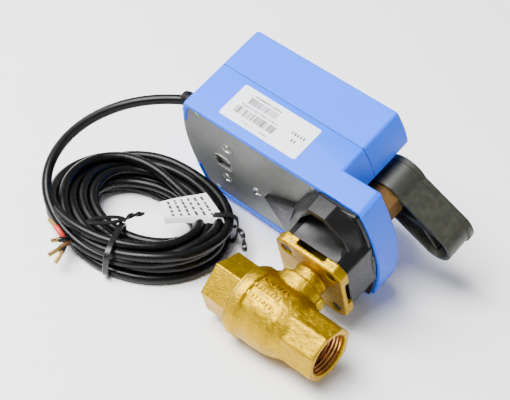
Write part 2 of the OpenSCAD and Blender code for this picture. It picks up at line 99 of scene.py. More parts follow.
def put(tree, kind, sockets=None, **values):
    """Adds a node, sets its fields, and links its sockets or gives them their values."""
    node = tree.nodes.new(kind)
    for key, value in values.items():
        if hasattr(node, key) and key not in node.inputs:
            setattr(node, key, value)
        else:
            node.inputs[key.replace("_", " ")].default_value = value
    for key, source in (sockets or {}).items():
        if isinstance(source, bpy.types.NodeSocket):
            tree.links.new(source, node.inputs[key])
        else:
            node.inputs[key].default_value = source
    return node


VECTOR, FLOAT, COLOR = "NodeSocketVector", "NodeSocketFloat", "NodeSocketColor"
WHOLE, MATERIAL = "NodeSocketInt", "NodeSocketMaterial"


def clouds(tree, enter, scale, detail, roughness):
    """Noise over the group's vector, at the scale of one of the group's inputs."""
    sockets = {"Vector": enter.outputs["Vector"], "Scale": enter.outputs[scale]}
    return put(tree, "ShaderNodeTexNoise", sockets, Detail=detail, Roughness=roughness)


def mottle_group():
    """Two colours in soft uneven patches."""
    tree, enter, leave = new_group(
        "Mottle",
        [
            ("Vector", VECTOR, None), ("Scale", FLOAT, 60.0), ("Spread", FLOAT, 0.35),
            ("Light", COLOR, (0.8, 0.8, 0.8, 1)), ("Dark", COLOR, (0.5, 0.5, 0.5, 1)),
        ],
        [("Color", COLOR), ("Patch", FLOAT)],
    )
    patches = clouds(tree, enter, "Scale", 5.0, 0.6)
    spread = enter.outputs["Spread"]
    low, high = (
        put(tree, "ShaderNodeMath", {0: spread, 1: half, 2: 0.5}, operation="MULTIPLY_ADD")
        for half in (-0.5, 0.5)
    )
    ends = {"From Min": low.outputs[0], "From Max": high.outputs[0]}
    ramp = put(tree, "ShaderNodeMapRange", {"Value": patches.outputs[0], **ends})
    tones = {0: ramp.outputs[0], 6: enter.outputs["Dark"], 7: enter.outputs["Light"]}
    mix = put(tree, "ShaderNodeMix", tones, data_type="RGBA")
    tree.links.new(mix.outputs[2], leave.inputs["Color"])
    tree.links.new(ramp.outputs[0], leave.inputs["Patch"])
    return tree


def grain_group():
    """Fine moulded or cast grain: a height, and a gloss that varies with it."""
    tree, enter, leave = new_group(
        "Grain",
        [
            ("Vector", VECTOR, None), ("Fine", FLOAT, 1500.0), ("Coarse", FLOAT, 200.0),
            ("Coarse Share", FLOAT, 0.4), ("Gloss Low", FLOAT, 0.4), ("Gloss High", FLOAT, 0.5),
        ],
        [("Height", FLOAT), ("Gloss", FLOAT)],
    )
    fine = clouds(tree, enter, "Fine", 3.0, 0.55)
    coarse = clouds(tree, enter, "Coarse", 4.0, 0.6)
    shares = {0: enter.outputs["Coarse Share"], 2: fine.outputs[0], 3: coarse.outputs[0]}
    mix = put(tree, "ShaderNodeMix", shares, data_type="FLOAT")
    ends = {
        "From Min": 0.3, "From Max": 0.7,
        "To Min": enter.outputs["Gloss Low"], "To Max": enter.outputs["Gloss High"],
    }
    gloss = put(tree, "ShaderNodeMapRange", {"Value": coarse.outputs[0], **ends})
    tree.links.new(mix.outputs[0], leave.inputs["Height"])
    tree.links.new(gloss.outputs[0], leave.inputs["Gloss"])
    return tree


def flecks_group():
    """Scattered small cells, for pits, spangle and handling marks."""
    tree, enter, leave = new_group(
        "Flecks",
        [
            ("Vector", VECTOR, None), ("Scale", FLOAT, 300.0),
            ("Cover", FLOAT, 0.3), ("Stretch", FLOAT, 1.0),
        ],
        [("Mask", FLOAT), ("Cell", FLOAT)],
    )
    split = put(tree, "ShaderNodeSeparateXYZ", {0: enter.outputs["Vector"]})
    stretched = {0: split.outputs[0], 1: enter.outputs["Stretch"]}
    longer = put(tree, "ShaderNodeMath", stretched, operation="MULTIPLY")
    parts = {0: longer.outputs[0], 1: split.outputs[1], 2: split.outputs[2]}
    join = put(tree, "ShaderNodeCombineXYZ", parts)
    where = {"Vector": join.outputs[0], "Scale": enter.outputs["Scale"]}
    cells = put(tree, "ShaderNodeTexVoronoi", where)
    tint = put(tree, "ShaderNodeSeparateColor", {0: cells.outputs["Color"]})
    chosen = {0: tint.outputs[0], 1: enter.outputs["Cover"]}
    under = put(tree, "ShaderNodeMath", chosen, operation="LESS_THAN")
    ends = {"Value": cells.outputs["Distance"], "From Min": 0.55, "From Max": 0.1}
    near = put(tree, "ShaderNodeMapRange", ends)
    both = {0: under.outputs[0], 1: near.outputs[0]}
    mask = put(tree, "ShaderNodeMath", both, operation="MULTIPLY")
    tree.links.new(mask.outputs[0], leave.inputs["Mask"])
    tree.links.new(tint.outputs[1], leave.inputs["Cell"])
    return tree


MAKERS = {"mottle": mottle_group, "grain": grain_group, "flecks": flecks_group}
GROUPS = {}


def use(tree, name, vector, **values):
    """Adds a shared group, made at its first use."""
    if name not in GROUPS:
        GROUPS[name] = MAKERS[name]()
    node = tree.nodes.new("ShaderNodeGroup")
    node.node_tree = GROUPS[name]
    tree.links.new(vector, node.inputs["Vector"])
    for key, value in values.items():
        node.inputs[key.replace("_", " ")].default_value = value
    return node


MATERIALS = {}


def rgb(c):
    return (c[0], c[1], c[2], 1.0)


def finish_of(
    name, light, dark, patch=60, spread=0.4, gloss=(0.4, 0.5), metallic=0.0, fine=1500,
    coarse=200, share=0.4, bump=0.2, depth=0.0002, flecks=None, specular=0.5,
):
    """A procedural finish of mottled colour, uneven gloss and grain.

    Flecks are given as (scale, cover, stretch, colour, height).
    """
    if name in MATERIALS:
        return MATERIALS[name]
    mat = bpy.data.materials.new(name)
    mat.use_nodes = True
    tree = mat.node_tree
    shader = tree.nodes["Principled BSDF"]
    shader.inputs["Metallic"].default_value = metallic
    shader.inputs["Specular IOR Level"].default_value = specular
    place = tree.nodes.new("ShaderNodeTexCoord").outputs["Object"]
    tone = use(
        tree, "mottle", place, Scale=patch, Spread=spread, Light=rgb(light), Dark=rgb(dark)
    )
    grain = use(
        tree, "grain", place, Fine=fine, Coarse=coarse, Coarse_Share=share,
        Gloss_Low=gloss[0], Gloss_High=gloss[1],
    )
    color, height = tone.outputs["Color"], grain.outputs["Height"]
    if flecks:
        scale, cover, stretch, tint, lift = flecks
        marks = use(tree, "flecks", place, Scale=scale, Cover=cover, Stretch=stretch)
        mask = marks.outputs["Mask"]
        mix = put(tree, "ShaderNodeMix", {0: mask, 6: color, 7: rgb(tint)}, data_type="RGBA")
        color = mix.outputs[2]
        heights = {0: mask, 1: lift, 2: height}
        height = put(tree, "ShaderNodeMath", heights, operation="MULTIPLY_ADD").outputs[0]
    tree.links.new(color, shader.inputs["Base Color"])
    tree.links.new(grain.outputs["Gloss"], shader.inputs["Roughness"])
    raised = put(tree, "ShaderNodeBump", {"Height": height, "Strength": bump, "Distance": depth})
    tree.links.new(raised.outputs[0], shader.inputs["Normal"])
    MATERIALS[name] = mat
    return mat


def settings():
    return bpy.context.scene.ball_valve


# Every finish by the plain name of what it is: (title, light tone, dark tone, fields). A tone
# is a colour, or the name of a colour setting and how much of it is taken.
FINISHES = {
    "case blue": (
        "Moulded blue plastic", ("case_blue", 1), ("case_blue", 0.9),
        dict(patch=25, spread=0.6, gloss=(0.40, 0.50), fine=2600, coarse=400, share=0.3,
             bump=0.10, depth=0.0002, specular=0.28),
    ),
    "seam blue": (
        "Shaded parting line", ("case_blue", 0.06), ("case_blue", 0.04),
        dict(patch=90, gloss=(0.5, 0.6), fine=2600, bump=0.05, specular=0.2),
    ),
    "button blue": (
        "Button plastic", ("case_blue", 0.8), ("case_blue", 0.7),
        dict(patch=90, gloss=(0.32, 0.42), fine=2600, bump=0.08),
    ),
    "cast brass": (
        "Sand-cast brass", ("brass", 1), (0.26, 0.155, 0.0),
        dict(patch=190, spread=0.85, gloss=(0.34, 0.52), metallic=1.0, fine=1700, coarse=520,
             share=0.6, bump=0.8, depth=0.0005,
             flecks=(1200, 0.16, 1.0, (0.20, 0.11, 0.0), -0.35)),
    ),
    "machined brass": (
        "Machined brass", (0.86, 0.60, 0.18), (0.70, 0.44, 0.12),
        dict(patch=300, spread=0.5, gloss=(0.18, 0.28), metallic=1.0, fine=2500, bump=0.08),
    ),
    "thread brass": (
        "Cut thread brass", (0.80, 0.40, 0.14), (0.42, 0.16, 0.05),
        dict(patch=260, spread=0.6, gloss=(0.16, 0.3), metallic=1.0, fine=2500, bump=0.1),
    ),
    "bronze": (
        "Oiled bronze", (0.36, 0.20, 0.06), (0.16, 0.085, 0.03),
        dict(patch=180, spread=0.7, gloss=(0.3, 0.45), metallic=0.75, fine=1400, coarse=300,
             bump=0.3),
    ),
    "ball chrome": (
        "Polished ball", (0.86, 0.87, 0.88), (0.78, 0.79, 0.80),
        dict(patch=90, gloss=(0.06, 0.12), metallic=1.0, fine=2500, bump=0.03),
    ),
    "white seat": (
        "Waxy white seal", (0.86, 0.86, 0.83), (0.76, 0.76, 0.72),
        dict(patch=150, gloss=(0.4, 0.5), fine=1500, bump=0.08),
    ),
    "seal rubber": (
        "Seal rubber", (0.005, 0.005, 0.005), (0.003, 0.003, 0.003),
        dict(patch=200, gloss=(0.45, 0.6), fine=1800, bump=0.15, specular=0.2),
    ),
    "black plastic": (
        "Glass-filled black plastic", (0.0065, 0.0065, 0.006), (0.003, 0.003, 0.003),
        dict(patch=160, spread=0.6, gloss=(0.28, 0.42), fine=1500, coarse=500, share=0.5,
             bump=0.3, depth=0.0003, specular=0.26),
    ),
    "handle plastic": (
        "Textured black handle", (0.036, 0.037, 0.026), (0.014, 0.0145, 0.010),
        dict(patch=320, spread=0.5, gloss=(0.36, 0.52), fine=2200, coarse=650, share=0.6,
             bump=0.45, depth=0.0004, specular=0.45),
    ),
    "galvanised": (
        "Galvanised sheet", (0.225, 0.23, 0.222), (0.165, 0.172, 0.165),
        dict(patch=70, spread=0.8, gloss=(0.40, 0.52), metallic=0.6, fine=1500, coarse=260,
             share=0.5, bump=0.10),
    ),
    "bright steel": (
        "Zinc-plated steel", (0.66, 0.66, 0.64), (0.44, 0.44, 0.43),
        dict(patch=300, spread=0.6, gloss=(0.22, 0.36), metallic=1.0, fine=2200, bump=0.12,
             flecks=(900, 0.12, 1.0, (0.3, 0.29, 0.27), -0.2)),
    ),
    "green zinc": (
        "Passivated zinc", (0.36, 0.50, 0.22), (0.16, 0.28, 0.10),
        dict(patch=500, spread=0.6, gloss=(0.2, 0.34), metallic=0.9, fine=2200, bump=0.1),
    ),
    "motor can": (
        "Drawn motor can", (0.56, 0.58, 0.60), (0.42, 0.43, 0.45),
        dict(patch=80, spread=0.5, gloss=(0.25, 0.4), metallic=1.0, fine=2000, bump=0.1),
    ),
    "acetal": (
        "Natural acetal", (0.80, 0.78, 0.70), (0.70, 0.67, 0.58),
        dict(patch=150, spread=0.5, gloss=(0.32, 0.42), fine=1800, bump=0.08),
    ),
    "board": (
        "Solder-masked board", (0.02, 0.20, 0.09), (0.012, 0.13, 0.055),
        dict(patch=260, spread=0.2, gloss=(0.2, 0.3), fine=1500, coarse=500, bump=0.15,
             flecks=(330, 0.1, 1.0, (0.55, 0.55, 0.5), 0.3)),
    ),
    "terminal": (
        "Terminal green", (0.06, 0.42, 0.14), (0.04, 0.34, 0.10),
        dict(patch=150, gloss=(0.28, 0.36), fine=1800, bump=0.06),
    ),
    "sleeve": (
        "Capacitor sleeve", (0.035, 0.035, 0.045), (0.02, 0.02, 0.03),
        dict(patch=100, gloss=(0.18, 0.26), fine=1500, bump=0.05),
    ),
    "relay": (
        "Relay housing", (0.06, 0.15, 0.48), (0.04, 0.12, 0.40),
        dict(patch=120, gloss=(0.24, 0.34), fine=1700, bump=0.06),
    ),
    "label white": (
        "Printed white film", (0.80, 0.81, 0.86), (0.76, 0.77, 0.83),
        dict(patch=90, spread=0.6, gloss=(0.36, 0.46), fine=2200, bump=0.05),
    ),
    "print grey": (
        "Label ink", (0.11, 0.105, 0.12), (0.06, 0.058, 0.065),
        dict(patch=900, spread=0.8, gloss=(0.45, 0.55), fine=2200, bump=0.05),
    ),
    "tag paper": (
        "Tag paper", (0.82, 0.82, 0.80), (0.74, 0.74, 0.72),
        dict(patch=120, spread=0.5, gloss=(0.5, 0.62), fine=2400, coarse=500, bump=0.15),
    ),
    "print black": (
        "Tag ink", (0.05, 0.05, 0.05), (0.025, 0.025, 0.025),
        dict(patch=900, gloss=(0.45, 0.55), fine=2200, bump=0.05),
    ),
    "cable": (
        "Black cable jacket", (0.0028, 0.0028, 0.0028), (0.0015, 0.0015, 0.0015),
        dict(patch=70, spread=0.6, gloss=(0.24, 0.36), fine=1800, coarse=260, share=0.5,
             bump=0.12, depth=0.0003, specular=0.22),
    ),
    "tie": (
        "Tie strip", (0.008, 0.008, 0.0085), (0.004, 0.004, 0.0042),
        dict(patch=200, gloss=(0.22, 0.36), fine=1500, bump=0.2, specular=0.4),
    ),
    "red core": (
        "Red insulation", (0.55, 0.02, 0.012), (0.42, 0.015, 0.01),
        dict(patch=300, gloss=(0.3, 0.4), fine=2000, bump=0.06),
    ),
    "brown core": (
        "Brown insulation", (0.16, 0.07, 0.03), (0.11, 0.045, 0.02),
        dict(patch=300, gloss=(0.3, 0.4), fine=2000, bump=0.06),
    ),
    "tinned copper": (
        "Bared copper strands", (0.50, 0.33, 0.10), (0.22, 0.13, 0.04),
        dict(patch=600, spread=0.6, gloss=(0.24, 0.38), metallic=0.95, fine=3000, bump=0.3),
    ),
}


def look(name):
    """The finish of that plain name, made at its first use."""
    title, light, dark, fields = FINISHES[name]
    colours = settings().colours
    tones = [
        tuple(v * tone[1] for v in getattr(colours, tone[0])) if isinstance(tone[0], str) else tone
        for tone in (light, dark)
    ]
    return finish_of(title, *tones, **fields)


# ---------------------------------------------------------------- mesh helpers


def plain_object(name, mesh, mat=None, body="base", replaces=(), smooth=35):
    """Links a finished mesh whose place is already in it, and lets it ride on its body."""
    obj = bpy.data.objects.new(name, mesh)
    bpy.context.scene.collection.objects.link(obj)
    if mat is not None:
        mesh.materials.clear()
        mesh.materials.append(mat)
        for face in mesh.polygons:
            face.material_index = 0
    if smooth:
        mesh.polygons.foreach_set("use_smooth", [True] * len(mesh.polygons))
        mesh.set_sharp_from_angle(angle=math.radians(smooth))
    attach(obj, body)
    if replaces:
        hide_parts(*replaces)
    return obj


def mesh_of(name, verts, faces, recalc=True):
    """A mesh of plain lists; a face that would double another is left out."""
    bm = bmesh.new()
    made = [bm.verts.new(v) for v in verts]
    for f in faces:
        try:
            bm.faces.new([made[i] for i in f])
        except ValueError:
            pass
    if recalc:
        bmesh.ops.remove_doubles(bm, verts=bm.verts, dist=1e-7)
        bmesh.ops.recalc_face_normals(bm, faces=bm.faces)
    mesh = bpy.data.meshes.new(name)
    bm.to_mesh(mesh)
    bm.free()
    return mesh


def piece(name, shape, finish, node=None, smooth=35):
    """A piece on the base from a (verts, faces) shape, standing for one CAD node if given."""
    nodes = (node,) if node else ()
    return plain_object(name, mesh_of(name, *shape), look(finish), "base", nodes, smooth)


def joined(shapes):
    """Several (verts, faces) shapes as one."""
    verts, faces = [], []
    for v, f in shapes:
        faces += [tuple(i + len(verts) for i in face) for face in f]
        verts += v
    return verts, faces


def prism_sides(n):
    """The faces between one ring of n points and the next."""
    return [(k, (k + 1) % n, (k + 1) % n + n, k + n) for k in range(n)]


def merged_copy(node, flat=False):
    """The CAD node's shape with its loose triangles joined, as a new bmesh."""
    bm = bmesh.new()
    bm.from_mesh(NODES[node].data)
    bmesh.ops.remove_doubles(bm, verts=bm.verts, dist=4e-6)
    if flat:
        bmesh.ops.dissolve_limit(bm, angle_limit=FLAT_ENOUGH, verts=bm.verts, edges=bm.edges)
    return bm


def with_modifiers(mesh, *steps):
    """Runs modifiers, each (type, {field: value}), and gives the finished plain mesh."""
    obj = bpy.data.objects.new("work", mesh)
    bpy.context.scene.collection.objects.link(obj)
    for kind, fields in steps:
        mod = obj.modifiers.new(kind, kind)
        for key, value in fields.items():
            setattr(mod, key, value)
    deps = bpy.context.evaluated_depsgraph_get()
    done = bpy.data.meshes.new_from_object(obj.evaluated_get(deps))
    bpy.data.objects.remove(obj)
    return done


def softened(name, node, width, finish, body="base", angle=30, segments=3, choose=None):
    """The CAD shape with the edges between its broad faces (over 12 square mm) rounded."""
    broad = 12.0 * MM * MM
    bm = merged_copy(node, flat=True)
    back = SEAT.inverted()
    edges = [
        e
        for e in bm.edges
        if len(e.link_faces) == 2
        and e.is_convex
        and e.calc_face_angle(0) > math.radians(angle)
        and min(f.calc_area() for f in e.link_faces) > broad
        and (choose is None or choose([back @ v.co / MM for v in e.verts]))
    ]
    bmesh.ops.bevel(
        bm,
        geom=edges + list(dict.fromkeys(v for e in edges for v in e.verts)),
        offset=width * MM,
        offset_type="OFFSET",
        segments=segments,
        profile=0.5,
        affect="EDGES",
        clamp_overlap=False,
        miter_outer="ARC",
    )
    bmesh.ops.triangulate(bm, faces=[f for f in bm.faces if len(f.verts) > 4])
    mesh = bpy.data.meshes.new(name)
    bm.to_mesh(mesh)
    bm.free()
    # broad flat faces keep their own normals, and the rounded edges blend between them
    mesh.polygons.foreach_set("use_smooth", [True] * len(mesh.polygons))
    mesh.set_sharp_from_angle(angle=math.radians(35))
    mesh = with_modifiers(mesh, ("WEIGHTED_NORMAL", {"weight": 50, "keep_sharp": True}))
    mesh.name = name
    return plain_object(name, mesh, look(finish), body, (node,), smooth=0)


def lathe(profile, turns, matrix):
    """Revolves a closed outline of (radius, height) pairs in millimetres about Z."""
    n = len(profile)
    verts, faces = [], []
    for k in range(turns):
        a = 2 * math.pi * k / turns
        for r, z in profile:
            verts.append(matrix @ Vector((r * math.cos(a) * MM, r * math.sin(a) * MM, z * MM)))
    for k in range(turns):
        m = (k + 1) % turns
        for i in range(n):
            j = (i + 1) % n
            faces.append((k * n + i, m * n + i, m * n + j, k * n + j))
    return verts, faces


def sweep(path, outline, closed=False, twist=None, up=VERTICAL):
    """Carries a flat outline (pairs in metres) along a path of points."""
    pts = [Vector(p) for p in path]
    n, m = len(pts), len(outline)
    verts, faces = [], []
    for i, p in enumerate(pts):
        a = pts[(i - 1) % n] if closed or i else p
        b = pts[(i + 1) % n] if closed or i < n - 1 else p
        t = (b - a).normalized()
        side = t.cross(up if abs(t.dot(up)) < 0.98 else Vector((1, 0, 0))).normalized()
        top = side.cross(t)
        w = twist[i] if twist else 0
        for u, v in outline:
            x, y = u * math.cos(w) - v * math.sin(w), u * math.sin(w) + v * math.cos(w)
            verts.append(p + side * x + top * y)
    for i in range(n if closed else n - 1):
        j = (i + 1) % n
        for k in range(m):
            q = (k + 1) % m
            faces.append((i * m + k, j * m + k, j * m + q, i * m + q))
    if not closed:
        faces.append(tuple(range(m))[::-1])
        faces.append(tuple((n - 1) * m + k for k in range(m)))
    return verts, faces


def ring_outline(r, n):
    turns = [2 * math.pi * k / n for k in range(n)]
    return [(r * math.cos(a), r * math.sin(a)) for a in turns]


def squared_ring(n, power_x, power_y):
    """Points round a unit circle pushed out towards a square, as (x, y) pairs."""
    ring = []
    for k in range(n):
        w = 2 * math.pi * k / n
        c, q = math.cos(w), math.sin(w)
        ring.append((math.copysign(abs(c) ** power_x, c), math.copysign(abs(q) ** power_y, q)))
    return ring


def flat_outline(w, t):
    """Rounded strip section, w wide and t thick."""
    a, b, c = w / 2, t / 2, min(w, t) * 0.3
    return [
        (-a + c, -b), (a - c, -b), (a, -b + c), (a, b - c),
        (a - c, b), (-a + c, b), (-a, b - c), (-a, -b + c),
    ]


def smooth_line(points, step):
    """Catmull-Rom through the points, resampled at about that step."""
    p = [Vector(q) for q in points]
    p = [p[0] * 2 - p[1]] + p + [p[-1] * 2 - p[-2]]
    fine = []
    for i in range(1, len(p) - 2):
        for k in range(24):
            t = k / 24
            a, b, c, d = p[i - 1], p[i], p[i + 1], p[i + 2]
            fine.append(
                0.5
                * (
                    2 * b
                    + (c - a) * t
                    + (2 * a - 5 * b + 4 * c - d) * t * t
                    + (3 * b - a - 3 * c + d) * t ** 3
                )
            )
    fine.append(p[-2])
    out, gone = [fine[0]], 0.0
    for a, b in zip(fine, fine[1:]):
        gone += (b - a).length
        if gone >= step:
            out.append(b)
            gone = 0.0
    if (out[-1] - fine[-1]).length > step * 0.3:
        out.append(fine[-1])
    return out


# ---------------------------------------------------------------- geometry-node helpers


def node_tree(name, inputs):
    tree = bpy.data.node_groups.new(name, "GeometryNodeTree")
    tree.interface.new_socket(name="Geometry", in_out="INPUT", socket_type="NodeSocketGeometry")
    for label, kind, value in inputs:
        socket = tree.interface.new_socket(name=label, in_out="INPUT", socket_type=kind)
        if value is not None:
            socket.default_value = value
    tree.interface.new_socket(name="Geometry", in_out="OUTPUT", socket_type="NodeSocketGeometry")
    return tree, tree.nodes.new("NodeGroupInput"), tree.nodes.new("NodeGroupOutput")


def close_tree(tree, enter, leave, geometry):
    """Ends a tree in Realize Instances and Set Material."""
    real = tree.nodes.new("GeometryNodeRealizeInstances")
    paint = tree.nodes.new("GeometryNodeSetMaterial")
    tree.links.new(geometry, real.inputs[0])
    tree.links.new(real.outputs[0], paint.inputs["Geometry"])
    tree.links.new(enter.outputs["Material"], paint.inputs["Material"])
    tree.links.new(paint.outputs[0], leave.inputs[0])


def run_tree(
    name, tree, finish, values, matrix, points=((0, 0, 0),), replaces=(), smooth=35
):
    """Evaluates a tree on a small carrier mesh and keeps the result as a plain piece."""
    values = {**values, "Material": look(finish)}
    carrier = bpy.data.meshes.new(name)
    carrier.from_pydata(list(points), [], [])
    obj = bpy.data.objects.new("work", carrier)
    bpy.context.scene.collection.objects.link(obj)
    mod = obj.modifiers.new("nodes", "NODES")
    mod.node_group = tree
    for item in tree.interface.items_tree:
        if item.in_out == "INPUT" and item.name in values:
            mod[item.identifier] = values[item.name]
    deps = bpy.context.evaluated_depsgraph_get()
    mesh = bpy.data.meshes.new_from_object(obj.evaluated_get(deps))
    bpy.data.objects.remove(obj)
    mesh.transform(matrix)
    mesh.name = name
    return plain_object(name, mesh, values["Material"], "base", replaces, smooth)


def helix_tree():
    """A ridge or wire wound round Z: radius, pitch, turns and its section's size."""
    if "Wound helix" in bpy.data.node_groups:
        return bpy.data.node_groups["Wound helix"]
    tree, enter, leave = node_tree(
        "Wound helix",
        [
            ("Radius", FLOAT, 0.01),
            ("Height", FLOAT, 0.01),
            ("Turns", FLOAT, 5.0),
            ("Section", FLOAT, 0.0005),
            ("Sides", WHOLE, 8),
            ("Material", MATERIAL, None),
        ],
    )
    given = enter.outputs
    radii = {"Start Radius": given["Radius"], "End Radius": given["Radius"]}
    rise = {"Height": given["Height"], "Rotations": given["Turns"], "Resolution": 40}
    spiral = put(tree, "GeometryNodeCurveSpiral", {**radii, **rise})
    section = {"Resolution": given["Sides"], "Radius": given["Section"]}
    ring = put(tree, "GeometryNodeCurvePrimitiveCircle", section)
    ends = {"Curve": spiral.outputs[0], "Profile Curve": ring.outputs[0], "Fill Caps": True}
    solid = put(tree, "GeometryNodeCurveToMesh", ends)
    close_tree(tree, enter, leave, solid.outputs[0])
    return tree


def strokes_tree():
    """Rows of bars of uneven width on the carrier's points, seeded."""
    if "Bar strokes" in bpy.data.node_groups:
        return bpy.data.node_groups["Bar strokes"]
    tree, enter, leave = node_tree(
        "Bar strokes",
        [
            ("Width", FLOAT, 0.0006),
            ("Length", FLOAT, 0.006),
            ("Rise", FLOAT, 0.00005),
            ("Uneven", FLOAT, 0.6),
            ("Turn", FLOAT, 0.0),
            ("Seed", WHOLE, 3),
            ("Material", MATERIAL, None),
        ],
    )
    given = enter.outputs
    sides = {0: given["Width"], 1: given["Length"], 2: given["Rise"]}
    size = put(tree, "ShaderNodeCombineXYZ", sides)
    bar = put(tree, "GeometryNodeMeshCube", {"Size": size.outputs[0]})
    least = put(tree, "ShaderNodeMath", {0: 1.0, 1: given["Uneven"]}, operation="SUBTRACT")
    most = put(tree, "ShaderNodeMath", {0: 1.0, 1: given["Uneven"]}, operation="ADD")
    back = put(tree, "ShaderNodeMath", {0: given["Turn"], 1: -1.0}, operation="MULTIPLY")

    def chance(low, high):
        """A random value for each point, between two sockets."""
        node = put(tree, "FunctionNodeRandomValue", {"Seed": given["Seed"]}, data_type="FLOAT")
        floats = [socket for socket in node.inputs if socket.type == "VALUE"]
        tree.links.new(low, floats[0])
        tree.links.new(high, floats[1])
        return next(socket for socket in node.outputs if socket.type == "VALUE")

    width = chance(least.outputs[0], most.outputs[0])
    angle = put(tree, "ShaderNodeCombineXYZ", {2: chance(back.outputs[0], given["Turn"])})
    stretch = put(tree, "ShaderNodeCombineXYZ", {0: width, 1: 1.0, 2: 1.0})
    spots = {"Points": given["Geometry"], "Instance": bar.outputs[0]}
    turned = {"Scale": stretch.outputs[0], "Rotation": angle.outputs[0]}
    place = put(tree, "GeometryNodeInstanceOnPoints", {**spots, **turned})
    close_tree(tree, enter, leave, place.outputs[0])
    return tree


def heads_tree():
    """Screw heads with a cross in their tops, on the carrier's points."""
    if "Pan heads" in bpy.data.node_groups:
        return bpy.data.node_groups["Pan heads"]
    tree, enter, leave = node_tree(
        "Pan heads",
        [
            ("Radius", FLOAT, 0.0028),
            ("Height", FLOAT, 0.0018),
            ("Recess", FLOAT, 0.0007),
            ("Material", MATERIAL, None),
        ],
    )
    given = enter.outputs
    round_head = {"Vertices": 28, "Radius": given["Radius"], "Depth": given["Height"]}
    shape = put(tree, "GeometryNodeMeshCylinder", round_head).outputs[0]
    rise = put(tree, "ShaderNodeCombineXYZ", {2: given["Height"]})
    for turn in (0, 1):
        sides = {turn: given["Recess"], 1 - turn: given["Radius"], 2: given["Height"]}
        size = put(tree, "ShaderNodeCombineXYZ", sides)
        box = put(tree, "GeometryNodeMeshCube", {"Size": size.outputs[0]})
        moved = {"Geometry": box.outputs[0], "Translation": rise.outputs[0]}
        lift = put(tree, "GeometryNodeTransform", moved)
        less = put(tree, "GeometryNodeMeshBoolean", operation="DIFFERENCE")
        tree.links.new(shape, less.inputs[0])
        tree.links.new(lift.outputs[0], less.inputs[1])
        shape = less.outputs[0]
    spots = {"Points": given["Geometry"], "Instance": shape}
    place = put(tree, "GeometryNodeInstanceOnPoints", spots)
    close_tree(tree, enter, leave, place.outputs[0])
    return tree


# ---------------------------------------------------------------- settings


class BallValveColours(bpy.types.PropertyGroup):
    case_blue: bpy.props.FloatVectorProperty(
        name="Case blue", description="Colour of the moulded actuator case", subtype="COLOR",
        size=3, default=(0.0, 0.125, 1.0), min=0, max=1,
    )
    brass: bpy.props.FloatVectorProperty(
        name="Brass", description="Colour of the cast valve", subtype="COLOR",
        size=3, default=(0.60, 0.37, 0.0), min=0, max=1,
    )


class BallValveSettings(bpy.types.PropertyGroup):
    colours: bpy.props.PointerProperty(
        type=BallValveColours, name="Colours", description="Main colours of the object"
    )
    case_edge: bpy.props.FloatProperty(
        name="Case edge radius", description="Rounding of the moulded case edges",
        default=1.1 * MM, min=0.2 * MM, max=2 * MM, unit="LENGTH",
    )
    cast_edge: bpy.props.FloatProperty(
        name="Casting skin", description="Size of the cells used to soften the cast edges",
        default=0.62 * MM, min=0.4 * MM, max=1.5 * MM, unit="LENGTH",
    )
    cable_diameter: bpy.props.FloatProperty(
        name="Cable diameter", description="Outside diameter of the lead",
        default=5 * MM, min=4 * MM, max=7 * MM, unit="LENGTH",
    )
    thread_pitch: bpy.props.FloatProperty(
        name="Thread pitch", description="Pitch of the pipe threads",
        default=1.814 * MM, min=1 * MM, max=2.5 * MM, unit="LENGTH",
    )
    floor_colour: bpy.props.FloatVectorProperty(
        name="Floor", description="Colour of the pale floor", subtype="COLOR",
        size=3, default=(1.0, 1.0, 1.0), min=0, max=1,
    )


# ---------------------------------------------------------------- the lead and its coil

COIL_AT, COIL_OUT = (-100.0, -30.0), (50.0, 37.0, 45.0)
HOLE_AT, HOLE_OUT = (-95.0, -30.0), (27.0, 17.0, 20.0)
TURNS, PER_TURN, FIRST = 13, 48, math.radians(232)
# Across the width (outer edge 1) and height of each turn, at its left, front, right and back
LAYERS = (
    ((1.0, 9), (1.0, 9), (0.9, 9), (0.85, 10)),
    ((0.62, 14), (0.8, 14), (-0.75, 15), (-0.7, 15)),
    ((0.2, 15.5), (0.35, 14), (0.35, 13), (0.35, 15)),
    ((-0.2, 15), (-0.1, 13), (0.0, 13), (0.0, 15)),
    ((-0.55, 14), (-0.5, 13), (-0.3, 12), (-0.35, 15)),
    ((-0.9, 12), (-0.9, 11), (-0.9, 10), (-0.9, 11)),
    ((-0.6, 8), (-0.6, 8), (-0.55, 8), (-0.6, 9)),
    ((-0.1, 8), (-0.1, 7), (-0.1, 8), (-0.1, 9)),
    ((0.45, 8), (0.4, 8), (0.4, 7), (0.4, 9)),
    ((-0.85, 3), (-0.9, 3), (-0.9, 3), (-0.9, 3)),
    ((-0.35, 3), (-0.4, 3), (-0.4, 3), (-0.4, 3)),
    ((0.15, 3), (0.1, 3), (0.1, 3), (0.1, 3)),
    ((0.6, 3), (0.6, 3), (0.6, 3), (0.6, 3)),
)


def oval(at, reach, power, t):
    """Points at angles t of an oval whose front, back and sides reach differently far."""
    s, c = np.sin(t), np.cos(t)
    p = np.where(s > 0, power, 1.0)
    x = at[0] + reach[0] * np.sign(c) * np.abs(c) ** p
    y = at[1] + np.where(s > 0, reach[1], reach[2]) * np.sign(s) * np.abs(s) ** p
    return np.stack([x, y], 1)


